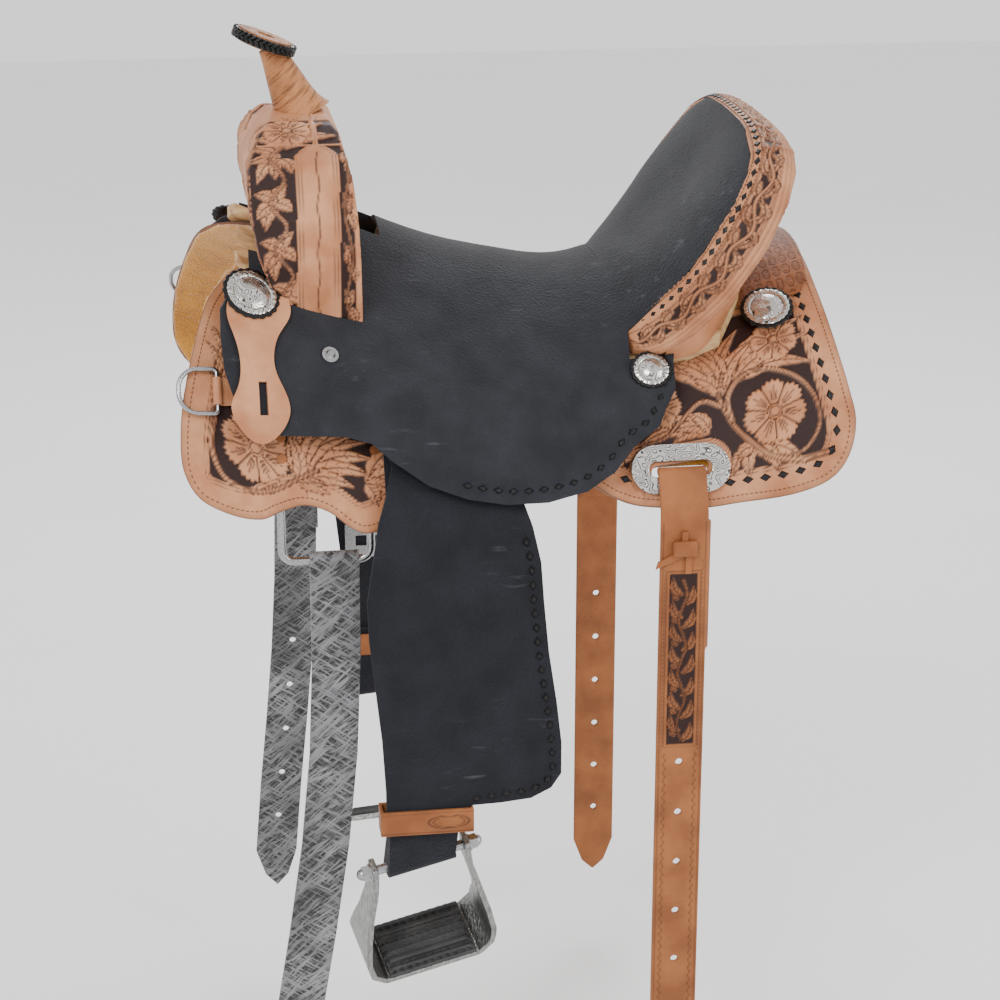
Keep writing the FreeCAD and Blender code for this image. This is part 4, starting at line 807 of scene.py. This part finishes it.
def rear_garden(flat):
    """The rose, its stem and the leaf fans of the rear skirt."""
    work = Tooling(flat)
    x, down = flat[:, 0], flat[:, 1]
    plate = oval(*PLATE_AT, *PLATE_OVAL)
    ring = to_line(flat, plate, closed=True)[0] * np.where(within(flat, plate), -1, 1)
    edge = to_line(flat, skirt_outline(), closed=True)[0]
    shown = (x > REAR_FIELD[0]) * (down > REAR_FIELD[1])
    work.background(smooth((edge - FIELD_INSET) / 1.2) * smooth((ring - 4) / 1.2) * shown)
    work.fan((238, 122), [(258, 64), (276, 74), (282, 98), (243, 86), (222, 84), (206, 100), (290, 122),
                          (212, 124)], 8.5)
    work.fan((214, 202), [(294, 172), (290, 150), (292, 203), (272, 180), (262, 150)], 8.5)
    work.fan((200, 214), [(118, 176), (134, 158), (150, 168), (158, 140), (170, 160), (184, 152),
                          (190, 130), (208, 138), (226, 144), (240, 162), (172, 190)], 8.5)
    work.fan((186, 246), [(104, 236), (112, 252), (150, 240), (148, 252), (166, 226)], 7.5)
    work.fan((226, 268), [(204, 290), (222, 296), (276, 297), (252, 299), (210, 276)], 7.5)
    work.fan((100, 262), [(72, 232), (78, 270), (96, 226), (124, 250)], 7.5)
    work.vine([(300, 292), (271, 291), (244, 281), (225, 264), (210, 246), (201, 226), (198, 212),
               (204, 192)], 7.0)
    work.vine([(208, 240), (206, 218), (220, 200), (244, 196), (272, 211), (289, 236), (292, 264),
               (278, 282), (262, 284)], 6.0)
    work.vine([(198, 224), (180, 216), (158, 232), (140, 246), (112, 250)], 5.5)
    work.flower((137, 214), 24, 7, 0.3)
    work.flower((258, 168), 24, 7, 0.9)
    work.flower((250, 241), 31, 7, 0.2)
    work.cut(ring - 2.8)
    work.cut(ring)
    return work


def front_garden(flat):
    """The rose and leaves of the front skirt."""
    work = Tooling(flat)
    x, down = flat[:, 0], flat[:, 1]
    edge = to_line(flat, skirt_outline(), closed=True)[0]
    shown = (x < FRONT_FIELD[0]) * (down > FRONT_FIELD[1])
    work.background(smooth((edge - FIELD_INSET + FRONT_SHIFT) / 1.2) * shown)
    work.fan((-276, 262), [(-290, 196), (-292, 218), (-268, 206), (-256, 222), (-292, 246)], 8)
    work.fan((-214, 316), [(-224, 272), (-206, 262), (-190, 256), (-174, 256), (-160, 260), (-146, 262),
                           (-138, 276), (-138, 292), (-160, 306), (-184, 318)], 8)
    work.fan((-150, 300), [(-96, 286), (-98, 270), (-110, 260), (-120, 306), (-140, 318)], 8)
    work.vine([(-290, 286), (-294, 312), (-284, 334), (-262, 338), (-238, 330), (-216, 314),
               (-196, 300)], 6.5)
    work.vine([(-284, 254), (-290, 276), (-290, 296)], 5)
    work.flower((-253, 299), 31, 8, 0.1)
    return work


def make_skirts():
    """Each skirt is one tooled sheet with cut border lines, stitches and a laced row."""
    outline = skirt_outline()

    def fine(flat):
        edge = to_line(flat, outline, closed=True)[0]
        rear = (flat[:, 0] > 66) & (flat[:, 1] > 60)
        front = (flat[:, 0] < -92) & (flat[:, 1] > 190)
        return (rear | front) & (edge > 12)

    flat, faces = cut_out(outline, oval(*PLATE_AT, *SLOT_OVAL), 5.0, fine, 1.45)
    rear = rear_garden(flat)
    front = front_garden(flat)
    is_rear = flat[:, 0] > 0
    height = np.where(is_rear, rear.height, front.height)
    dye = np.where(is_rear, rear.dye, front.dye)
    edge = to_line(flat, outline, closed=True)[0]
    shift = np.where(is_rear, 0, FRONT_SHIFT)
    for border in (FIELD_INSET - 3.6, FIELD_INSET - 0.8):
        line = np.clip(1 - np.abs(edge - border + shift) / 0.8, 0, 1)
        height = height - 0.45 * line
        dye = np.maximum(dye, 0.75 * line)
    height = height - 0.8 * (1 - smooth(edge / 1.4))
    dye = np.maximum(dye, 0.75 * (1 - smooth(edge / 2.2)))
    stitch_line = inset(outline, STITCH_INSET)
    stitch_line = stitch_line[stitch_line[:, 1] > 55]
    lace_line = inset(outline, LACE_INSET)
    lace_line = lace_line[(lace_line[:, 0] > 70) & (lace_line[:, 1] > 70)]
    for side_name, side in SIDES:
        def place(points, lift, side=side):
            return on_back(points[:, 0], points[:, 1], lift, side)
        node = "skirt_" + side_name
        bottom = np.full(len(flat), SKIRT_LOW)
        points, shell = thick_sheet(flat, faces, place, SKIRT_TOP + height - 0.3, bottom)
        layer = np.concatenate([dye, np.full(len(flat), 0.5)])
        add_piece("tooled_" + node, points, shell, TAN, node, 50, {"dye": layer}, (node,))
        row_on("stitches_" + node, stitch_line, 4.6, stitch(3.1, 1.1, 0.9), place, SKIRT_TOP - 0.2,
               BROWN_THREAD, node)
        row_on("laced_row_" + node, lace_line, 17.5, lozenge(13.5, 9, 0.9), place, SKIRT_TOP - 0.1,
               BLACK_LACE, node)


# ---- seat and jockeys ----

SEAT_MIDDLE = [(-290, 27), (-170, 57), (-128, 53), (-84, 45), (-43, 39), (9, 33), (50, 27), (90, 27),
               (112, 30), (140, 43), (170, 67), (200, 99), (222, 132), (236, 154)]
DISH_EDGE = [(60, 27), (111, 37), (141, 69), (167, 98), (190, 125), (210, 143), (225, 156), (236, 162)]
DISH_ANGLE = [(60, 32), (111, 32), (141, 31.3), (167, 30.2), (190, 28.2), (210, 25.9), (225, 22.6),
              (232, 19.4), (236, 13)]
JOCKEY_HEM = [(-57, -124), (-19, -131), (20, -131), (58, -123), (86, -107), (106, -86), (132, -70),
              (140, -56), (152, -40), (154, -20)]
SEAT_FLANK = 27
JOCKEY_FLARE = 6
JOCKEY_LIFT = SEAT_FLANK + JOCKEY_FLARE


def seat_height(x, degrees):
    degrees = np.abs(degrees)
    middle = np.interp(x, *zip(*SEAT_MIDDLE))
    edge = np.interp(x, *zip(*DISH_EDGE))
    rim = np.interp(x, *zip(*DISH_ANGLE))
    inner = middle + (edge - middle) * smooth(degrees / rim)
    outer = edge + (SEAT_FLANK - edge) * smooth((degrees - rim) / 5)
    return np.where(degrees <= rim, inner, outer) + JOCKEY_FLARE * smooth((degrees - 38) / 16)


def make_seat():
    """The black seat with its laced jockey hem."""
    carried("seat_cover", ROUGHOUT, 40)
    hem = moved_right(to_flank(flowing(JOCKEY_HEM, 6), JOCKEY_LIFT), 11)
    for side_name, side in SIDES:
        def place(points, lift, side=side):
            height = seat_height(points[:, 0], np.degrees(points[:, 1] / ARC))
            return on_back(points[:, 0], points[:, 1], height + lift, side)
        row_on("jockey_lace_" + side_name, hem, 15, lozenge(11.5, 7.5, 1.3), place, 0.1, GREY_LACE,
               "seat_cover")


# ---- fork ----

FORK_FRONT_VIEW = [(0, 206), (60, 200), (113, 172), (145, 126), (153, 84), (148, 44), (140, 0),
                   (133, -60)]
BAND_X = -184  # middle of the plain band on the fork's side
BAND_HALF = 18
BAND_TOP = 92  # where the band's round top starts, down from the crown
TONGUE_END = 44  # how far the crown's plain tongue comes down
FORK_REAR_EDGE = -149
FORK_FRONT_EDGE = [(0, 232), (60, 236), (120, 250), (176, 250), (219, 244), (259, 228), (304, 212)]


def fork_flat(points, normals):
    """A fork point as (fore and aft, distance down from the crown along the cover)."""
    view = np.stack([np.abs(points[:, 1]), points[:, 2]], -1)
    depth, down = to_line(view, flowing(FORK_FRONT_VIEW, 8))
    face = np.clip(-normals[:, 0], 0, 1)
    return np.stack([points[:, 0] + depth * smooth(face * 1.6), down], -1), depth


def fork_work(points, normals):
    """Leaves all over, a rose on each shoulder, and a plain seamed band down each side."""
    flat, depth = fork_flat(points, normals)
    outside = (np.abs(normals[:, 1]) > 0.3) | (normals[:, 2] > 0.3) | (normals[:, 0] < -0.3)
    inner = (normals[:, 2] < -0.35) | (depth > 3) & (normals[:, 0] > -0.4)
    shown = (depth < 26) & outside & ~inner
    flat[~shown] = (-400, -400)
    work = Tooling(flat)
    across, down = flat[:, 0], flat[:, 1]
    centre = BAND_X + 2 * np.sin(down / 60)
    half = BAND_HALF * np.sqrt(np.clip((down - BAND_TOP) / 16, 0, 1))
    band = half - np.abs(across - centre)
    tongue = TONGUE_END - down
    rear_edge = FORK_REAR_EDGE + 3 * smooth((down - 150) / 60) - across
    front_edge = across + np.interp(down, *zip(*FORK_FRONT_EDGE))
    field = smooth((np.minimum(rear_edge, front_edge) - 3.5) / 1.2) * smooth(-tongue / 1.5)
    work.background(field * shown)
    work.fan((-212, 96), [(-236, 54), (-218, 46), (-196, 48), (-170, 56), (-160, 78), (-240, 80)], 8)
    work.fan((-216, 112), [(-244, 96), (-246, 118), (-240, 140), (-222, 136), (-206, 130)], 7.5)
    work.fan((-222, 160), [(-244, 150), (-242, 176), (-212, 140), (-208, 168), (-234, 188)], 7.5)
    work.fan((-220, 206), [(-240, 198), (-236, 226), (-208, 188), (-206, 216), (-226, 236)], 7)
    work.fan((-212, 250), [(-230, 240), (-224, 268), (-204, 234), (-202, 262), (-214, 280)], 6.5)
    work.fan((-156, 120), [(-158, 92), (-150, 98), (-152, 142)], 5)
    work.fan((-156, 172), [(-160, 150), (-151, 152), (-151, 190)], 5)
    work.fan((-157, 222), [(-161, 200), (-151, 202), (-151, 240)], 5)
    work.fan((-157, 264), [(-161, 246), (-152, 246), (-152, 284)], 5)
    work.vine([(-210, 90), (-226, 112), (-214, 136), (-228, 160), (-214, 184), (-226, 206), (-210, 230),
               (-220, 252), (-206, 280)], 5)
    work.vine([(-156, 86), (-153, 130), (-159, 170), (-153, 214), (-159, 256), (-154, 290)], 3.6)
    work.flower((-208, 70), 24, 7, 0.4)
    on = band > -2.4
    work.height[on] = (1.0 * smooth((band + 2.4) / 1.6))[on]
    work.dye[on] = 0
    work.cut(band)
    work.cut(band - 3.2, 0.8, 0.5, 0.5)
    seam = across - centre - 1.2 * np.sin(down / 7)
    work.cut(seam, 1.1, 0.8, 0.85, (band > 3.2) * (down > BAND_TOP + 12))
    work.cut(tongue + 1.5, 0.9, 0.6, 0.6)
    loops = np.abs(np.mod(across, 9) - 4.5) - 3.2 * np.sqrt(np.clip(1 - ((tongue - 3) / 5) ** 2, 0, 1))
    work.cut(loops, 0.8, 0.5, 0.6, (tongue > -1) * (tongue < 8))
    return work.height * shown, work.dye * shown


# ---- cantle ----

ROLL_INNER = [(106, -137, 2), (122, -148, 21), (141, -160, 42), (167, -170, 71), (190, -172, 105),
              (210, -167, 133), (225, -152, 158), (232, -134, 173), (236, -90, 188), (237, -45, 192),
              (237, 0, 193)]
ROLL_OUTER = [(118, -152, -10), (145, -170, -8), (172, -186, 14), (208, -197, 56), (238, -197, 104),
              (257, -186, 144), (268, -166, 168), (272, -142, 178), (274, -96, 184), (274, -48, 187),
              (274, 0, 188)]
LACE_SHARE = 0.17


def both_halves(line):
    far = [(x, -y, z) for x, y, z in line[-2::-1]]
    return flowing(list(line) + far, 10)


ROLL_A = both_halves(ROLL_INNER)
ROLL_B = both_halves(ROLL_OUTER)
ROLL_MIDDLE = (ROLL_A + ROLL_B) / 2
ROLL_RUNS = runs_of(ROLL_MIDDLE)
ROLL_ACROSS = 40  # flat millimetres from the roll's inner edge to its outer one


def roll_at(along):
    """The roll's inner edge, and the way across to its outer edge, at distances round it."""
    inner = at_runs(along, ROLL_RUNS, ROLL_A)
    return inner, at_runs(along, ROLL_RUNS, ROLL_B) - inner


def roll_flat(points):
    """A cantle point as (share from the inner edge to the outer, distance round the roll)."""
    _, along = to_line(points, ROLL_MIDDLE)
    inner, width = roll_at(along)
    return np.sum((points - inner) * width, 1) / np.sum(width * width, 1), along


def roll_place(flat, lift):
    """Where (millimetres across, distance round) lies on top of the roll."""
    share = flat[:, 0] / ROLL_ACROSS
    inner, width = roll_at(flat[:, 1])
    rise = unit(np.array([0, 0, 1.0]) - width * (width[:, 2] / np.sum(width * width, 1))[:, None])
    height = np.interp(share, [0, 0.35, 0.75, 1], [2, 7, 6, 0])
    return inner + width * share[:, None] + rise * (height + lift)[:, None]


def roll_work(points, normals):
    share, along = roll_flat(points)
    total = ROLL_RUNS[-1]
    half = np.minimum(along, total - along)
    work = Tooling(np.stack([half, share * ROLL_ACROSS], -1))
    top = (share > -0.1) & (share < 0.98) & (normals[:, 2] > -0.2)
    field = smooth((share - 0.34) / 0.03) * smooth((0.68 - share) / 0.03) * top
    work.background(field * (half > 14))
    pitch = 26
    for k in range(int(total / 2 / pitch) + 1):
        start = 16 + k * pitch
        work.leaf((start + 20, 15), (start - 2, 24), 4.6, 0.2, 3)
        work.leaf((start + 8, 26), (start + 28, 17), 4.6, 0.2, 3)
        work.leaf((start + 16, 26), (start + 2, 15), 3.4, -0.15, 3)
    wave = share * ROLL_ACROSS - 20.5 - 3.2 * np.sin(half / 8.3)
    work.raised(np.where(field > 0.5, 1.7 - np.abs(wave), -1), 0.9, 1.2)
    for at in (0.04, 0.285, 0.31, 0.7, 0.735):
        work.cut((share - at) * ROLL_ACROSS, 0.8, 0.5, 0.5, top)
    for at in (0.82, 0.9):
        work.cut((share - at) * ROLL_ACROSS, 1.0, 0.5, 0.35, top)
    burnish = smooth((share - 0.76) / 0.3) * 0.22
    return work.height * top, np.where(top, np.maximum(work.dye, burnish), 0.25)


def make_cantle():
    """The tooled roll with its laced band and stitch lines, and the back behind it."""
    worked("cantle_roll", TAN, 1.5, roll_work)
    carried("cantle_back", TAN, 40)
    along = np.arange(12, ROLL_RUNS[-1] - 11, 1.0)
    for name, share, pitch, shape, material in (
            ("cantle_lace", LACE_SHARE, 13.5, lozenge(11.5, 7.5, 0.9), BLACK_LACE),
            ("cantle_stitches_inner", 0.065, 4.2, stitch(3.1, 1.3, 1.0), BROWN_THREAD),
            ("cantle_stitches_outer", 0.265, 4.2, stitch(3.1, 1.3, 1.0), BROWN_THREAD)):
        line = np.stack([np.full(len(along), share * ROLL_ACROSS), along], -1)
        row_on(name, line, pitch, shape, roll_place, 0.3, material, "cantle_roll")


# ---- horn ----

CAP_FOOT = np.array([-225.6, 0, 266.2])
CAP_NORMAL = np.array([0.3584, 0, 0.9336])
BRAID_STRANDS = 34
BRAID_RADIUS = 30.3


def make_horn():
    """The leather neck and cap with a braided band round its edge."""
    carried("horn_wrap", TAN_NECK, 50)
    carried("horn_cap", TAN_NECK, 40)
    carried("horn_cap_edge", BLACK_BRAID, 50)
    forward = np.array([CAP_NORMAL[2], 0, -CAP_NORMAL[0]])
    sideways = np.array([0, 1.0, 0])
    angles = np.arange(BRAID_STRANDS) * 2 * np.pi / BRAID_STRANDS
    outward_ways = np.outer(np.cos(angles), forward) + np.outer(np.sin(angles), sideways)
    round_ways = np.outer(-np.sin(angles), forward) + np.outer(np.cos(angles), sideways)
    for name, level, lean in (("horn_braid_upper", 8.0, 0.9), ("horn_braid_lower", 4.4, -0.9)):
        spots = CAP_FOOT + CAP_NORMAL * level + outward_ways * BRAID_RADIUS
        ways = round_ways + CAP_NORMAL * lean
        scattered(name, stitch(9.0, 4.2, 3.0), spots, ways, outward_ways, BLACK_BRAID, "horn_cap_edge")


# ---- silver ----

# Each place: x, degrees down the flank, lift over the back, radius.
CONCHOS = ((-250, 35.5, 31.4, 24), (131, 40, 27.7, 16.5), (257, 28, 9.3, 22))
# Each profile row: share of the radius, height, and how far it follows the scallops.
DOME = ((0.9, 1.2, 0), (0.97, 1.4, 1), (0.98, 2.2, 1), (0.9, 2.9, 1), (0.78, 3.3, 0.6), (0.74, 2.9, 0),
        (0.7, 3.4, 0), (0.66, 4.0, 0), (0.5, 5.4, 0), (0.35, 6.3, 0), (0.18, 6.9, 0), (0.05, 7.1, 0))
ROSETTE = ((0.9, -0.6, 0), (0.96, -0.4, 1), (1.0, 0.6, 1), (0.97, 1.7, 1), (0.9, 2.2, 0.4), (0.5, 2.2, 0))
LATHE_FACES = 72


def lathe(profile, scallops, flute):
    """A round medal from rows of (radius, height, scallop), with a scalloped rim."""
    around = LATHE_FACES
    angles = np.arange(around) * 2 * np.pi / around
    rows = []
    for reach, height, wave in profile:
        ripple = np.abs(np.cos(angles * scallops / 2))
        radius = reach * (1 + flute * wave * ripple)
        lifted = height * (1 + 0.25 * wave * ripple)
        rows.append(np.stack([radius * np.cos(angles), radius * np.sin(angles), lifted + 0 * angles], -1))
    points = np.vstack([*rows, [[0, 0, profile[-1][1]]], [[0, 0, profile[0][1]]]])
    faces = []
    last = len(rows) - 1
    for row in range(last):
        for k in range(around):
            a, b = row * around + k, row * around + (k + 1) % around
            faces += [(a, b, b + around), (a, b + around, a + around)]
    for k in range(around):
        faces.append((last * around + k, last * around + (k + 1) % around, len(points) - 2))
        faces.append(((k + 1) % around, k, len(points) - 1))
    return points, outward(points, np.array(faces))


def make_conchos():
    """Six scalloped silver domes on black leather rosettes."""
    for name, node, material, grow, profile, scallops, flute in (
            ("silver_domes", "conchos", SILVER, 0.0, DOME, 24, 0.06),
            ("leather_rosettes", "concho_rosettes", BLACK_LACE, 3.0, ROSETTE, 20, 0.07)):
        all_points = []
        all_faces = []
        count = 0
        for x, degrees, height, radius in CONCHOS:
            rows = [(reach * (radius + grow), lift, wave) for reach, lift, wave in profile]
            base, faces = lathe(rows, scallops, flute)
            for _, side in SIDES:
                def place(points, lift, side=side, height=height):
                    return on_back(points[:, 0], points[:, 1], height + lift, side)
                spot = np.array([[x, ARC * math.radians(degrees)]])
                at, way, normal = frames_on(place, spot, np.array([[1.0, 0.0]]), 0.0)
                way, normal = unit(way), unit(normal)
                beside = np.cross(normal, way)
                all_points.append(at + base[:, :1] * way + base[:, 1:2] * beside + base[:, 2:] * normal)
                all_faces.append(faces + count)
                count += len(base)
        add_piece(name, np.vstack(all_points), np.vstack(all_faces), material, node, 35, None, (node,))


# ---- straps, fenders and stirrups ----

FENDER_EDGE = [(9, -168), (14, -192), (17, -233), (22, -285), (30, -338), (35, -381), (35, -414),
               (25, -429), (5, -439), (-25, -442), (-48, -445)]
FENDER_DROP = [(-236.5, -128), (-239.5, -152), (-240, -186), (-240, -466)]
BILLET_X = 154
BILLET_OUT = 236.66
PANEL_TOP = -212
PANEL_FOOT = -393
PANEL_HALF = 14.5
LEAF_PITCH = 24
STITCH_SHIFT = 18.6


def billet_work(side):
    """The leaf panel, its frame, and the scalloped lines below it."""
    def relief(points, normals):
        flat = points[:, [0, 2]].copy()
        shown = (normals[:, 1] * side > 0.6) & (np.abs(points[:, 1]) > 229)
        flat[~shown] = (900, 900)
        work = Tooling(flat)
        off_centre = np.abs(flat[:, 0] - BILLET_X)
        side_gap = PANEL_HALF - off_centre
        end_gap = np.minimum(PANEL_TOP - flat[:, 1], flat[:, 1] - PANEL_FOOT)
        room = np.minimum(side_gap, end_gap)
        work.background(smooth(room / 1.2))
        for k in range(7):
            z = PANEL_TOP - 16 - k * LEAF_PITCH
            work.leaf((BILLET_X, z - 8), (BILLET_X - 10, z + 13), 5.0, 0.2, 3)
            work.leaf((BILLET_X, z - 18), (BILLET_X + 10, z + 3), 5.0, -0.2, 3)
            work.leaf((BILLET_X - 4, z - 12), (BILLET_X - 11, z - 4), 3.2, 0.1, 2)
        stem = [(BILLET_X + 4 * math.sin(k * 1.6), PANEL_TOP - 8 - k * 14) for k in range(13)]
        work.vine(stem, 3.6, 0.2)
        on = room < -0.2
        work.height[on] = 0
        work.dye[on] = 0
        work.cut(room + 2.2, where=side_gap > -3)
        scallops = off_centre - 17 + 2.6 * np.abs(np.sin(np.pi * flat[:, 1] / 9))
        work.cut(scallops, 0.8, 0.5, 0.6, flat[:, 1] < PANEL_FOOT - 9)
        work.cut(off_centre - 21, 0.7, 0.4, 0.45, flat[:, 1] < -160)
        return work.height * shown, work.dye * shown
    return relief


def make_billets():
    for side_name, side in SIDES:
        node = "rear_billet_" + side_name
        worked(node, TAN_EDGE, 1.3, billet_work(side))
        carried("billet_tie_" + side_name, TAN_EDGE, 50)

        def place(points, lift, side=side):
            return np.stack([points[:, 0], np.full(len(points), side * (BILLET_OUT + lift)),
                             points[:, 1]], -1)
        for name, shift in (("front", -STITCH_SHIFT), ("rear", STITCH_SHIFT)):
            line = spaced([(BILLET_X + shift, PANEL_TOP + 12), (BILLET_X + shift, PANEL_FOOT - 5)], 5)[0]
            row_on("billet_stitches_" + name + "_" + side_name, line, 4.4, stitch(3.0, 1.1, 0.9), place,
                   -0.2, BROWN_THREAD, node)


def make_fenders():
    """Rough-out fenders laced down the rear edge, over black stirrup leathers."""
    laced = moved_right(flowing(FENDER_EDGE, 6), 10)
    for side_name, side in SIDES:
        carried("fender_" + side_name, FENDER_HIDE, 40, 0.8)
        carried("stirrup_leather_" + side_name, FENDER_HIDE, 40)
        carried("leather_buckle_" + side_name, STEEL, 40)

        def place(points, lift, side=side):
            depth, level = zip(*FENDER_DROP)
            y = -np.interp(-points[:, 1], [-z for z in level], depth) + 2 + lift
            return np.stack([points[:, 0], side * y, points[:, 1]], -1)
        row_on("fender_lace_" + side_name, laced, 14.5, lozenge(11.5, 8.5, 1.7), place, 0.2, BLACK_LACE,
               "fender_" + side_name)


TREAD_WAY = np.array([-0.227, 0.873, 0.432])
TREAD_UP = np.array([-0.070, -0.457, 0.886])
TREAD_PITCH = 9.0
TREAD_DEPTH = 2.6
HOBBLE_LEVEL = -457
HOBBLE_OVAL = (-77, 20, 7.0)  # where it is along the strap, and its half sizes


def hobble_work(side):
    """Edge creases and a plain double oval."""
    def relief(points, normals):
        flat = points[:, [0, 2]].copy()
        shown = normals[:, 1] * side > 0.5
        work = Tooling(flat)
        middle, half_long, half_high = HOBBLE_OVAL
        edge = 13 - np.abs(flat[:, 1] - HOBBLE_LEVEL)
        work.cut(edge - 2.5, 0.8, 0.5, 0.5, shown)
        reach = np.hypot((flat[:, 0] - middle) / half_long, (flat[:, 1] - HOBBLE_LEVEL) / half_high)
        work.cut((reach - 1) * 9, 0.8, 0.6, 0.7, shown)
        work.cut((reach - 0.78) * 9, 0.7, 0.4, 0.5, shown)
        return work.height * shown, work.dye * shown
    return relief


def tread_work(side):
    """Ribs along the tread."""
    def relief(points, normals):
        mirror = np.array([1, -side, 1])
        top = smooth((normals @ (TREAD_UP * mirror) - 0.4) / 0.4)
        rib = np.mod(points @ (TREAD_WAY * mirror), TREAD_PITCH) / TREAD_PITCH
        groove = smooth(1 - np.abs(rib - 0.5) / 0.26)
        return -TREAD_DEPTH * groove * top, 0.0 * groove
    return relief


def make_stirrups():
    for side_name, side in SIDES:
        worked("hobble_strap_" + side_name, TAN_EDGE, 1.2, hobble_work(side))
        carried("stirrup_frame_" + side_name, CAST, 40, 1.0)
        worked("stirrup_tread_" + side_name, RUBBER, 1.4, tread_work(side))
        carried("stirrup_bolt_" + side_name, STEEL, 40)
        carried("stirrup_nuts_" + side_name, STEEL, 40)


STAMP_CELL = (10, 15)


def housing_work(points, normals):
    """Rows of oval stamps on the rear housing."""
    arc = np.arctan2(np.abs(points[:, 1]), BACK_DEPTH) * ARC
    work = Tooling(np.stack([points[:, 0], arc], -1))
    shown = normals[:, 2] > 0.5
    cell_x = np.mod(work.across, STAMP_CELL[0]) - STAMP_CELL[0] / 2
    cell_y = np.mod(work.down, STAMP_CELL[1]) - STAMP_CELL[1] / 2
    reach = np.hypot(cell_x / 3.4, cell_y / 5.6)
    work.cut((reach - 1) * 3.5, 0.9, 0.5, 0.55, shown)
    work.cut((reach - 0.45) * 3.5, 0.8, 0.3, 0.35, shown)
    return work.height * shown, work.dye * shown


def make_linings():
    """Ochre suede pads under the skirts."""
    def napped(points, normals):
        wave = np.sin(points[:, 0] / 7.1) * np.sin(points[:, 1] / 6.3) * np.sin(points[:, 2] / 8.7)
        return 0.35 * wave - 0.35, 0.0 * wave
    for side_name, side in SIDES:
        pad = worked("skirt_lining_" + side_name, OCHRE, 3.2, napped)
    carried("seat_foam", FOAM, 60)


# The rest of the nodes, with * for each side: name, material, width of the eased edges.
PLAIN = (("tree_bar_*", WOOD, 0), ("tree_fork", WOOD, 0), ("tree_cantle", WOOD, 0), ("horn_post", STEEL, 0),
         ("jockey_screws", STEEL, 0), ("latigo_keeper_*", TAN, 0.7), ("breast_tab_*", TAN, 0.4),
         ("rigging_leather_*", TAN_EDGE, 0), ("rear_rigging_plate_*", SILVER, 0.5),
         ("rigging_rivets", TAN_EDGE, 0), ("ground_seat", STRAINER, 0), ("front_dee_*", STEEL, 0),
         ("breast_dee_*", STEEL, 0), ("latigo_left", LATIGO, 0.6), ("off_billet_right", LATIGO, 0.6))


def make_plain_parts():
    for label, material, bevel in PLAIN:
        for side_name, _ in SIDES if "*" in label else SIDES[:1]:
            carried(label.replace("*", side_name), material, 40, bevel)


# ---- the room: pale floor, soft light and the camera ----

VIEW_AZIMUTH = math.radians(-8)
VIEW_RISE = math.radians(19)
VIEW_TARGET = Vector((0.008, 0.0, -0.211))
VIEW_DISTANCE = 2.615


def make_camera():
    data = bpy.data.cameras.new("camera")
    data.lens = 90
    data.sensor_width = 36
    camera = bpy.data.objects.new("camera", data)
    bpy.context.scene.collection.objects.link(camera)
    back = Vector((math.sin(VIEW_AZIMUTH) * math.cos(VIEW_RISE),
                   -math.cos(VIEW_AZIMUTH) * math.cos(VIEW_RISE), math.sin(VIEW_RISE)))
    camera.location = VIEW_TARGET + back * VIEW_DISTANCE
    camera.rotation_euler = back.to_track_quat("Z", "Y").to_euler()
    bpy.context.scene.camera = camera


def make_floor():
    bpy.ops.mesh.primitive_plane_add(size=14, location=(0, 0, CAD_BOX[0][2] - 0.01))
    floor = bpy.context.object
    floor.name = "floor"
    material, tree, shader, place = blank("pale_floor")
    colour = blended(tree, noise(tree, place, 3.0), (0.9, 0.9, 0.9, 1), (0.86, 0.86, 0.86, 1))
    tree.links.new(colour, shader.inputs["Base Color"])
    shader.inputs["Roughness"].default_value = 0.9
    floor.data.materials.append(material)


def add_light(name, where, size, power):
    data = bpy.data.lights.new(name, "AREA")
    data.size = size
    data.energy = power
    light = bpy.data.objects.new(name, data)
    light.location = where
    aim = Vector(where) - Vector((0, 0, -0.15))
    light.rotation_euler = aim.to_track_quat("Z", "Y").to_euler()
    bpy.context.scene.collection.objects.link(light)


def make_light():
    world = bpy.data.worlds.new("room")
    bpy.context.scene.world = world
    world.use_nodes = True
    world.node_tree.nodes["Background"].inputs["Color"].default_value = (1, 1, 1, 1)
    world.node_tree.nodes["Background"].inputs["Strength"].default_value = 1.25
    add_light("key", (-1.6, -2.6, 2.2), 1.4, 85)
    add_light("fill", (2.4, -1.8, 0.9), 1.6, 40)
    add_light("rim", (0.6, 2.4, 1.8), 1.4, 40)


bpy.ops.object.select_all(action="DESELECT")
make_camera()
make_floor()
make_light()
make_skirts()
make_seat()
worked("fork_cover", TAN, 1.6, fork_work)
make_cantle()
make_horn()
make_conchos()
make_billets()
make_fenders()
make_stirrups()
worked("rear_housing", TAN_EDGE, 1.5, housing_work)
make_linings()
make_plain_parts()
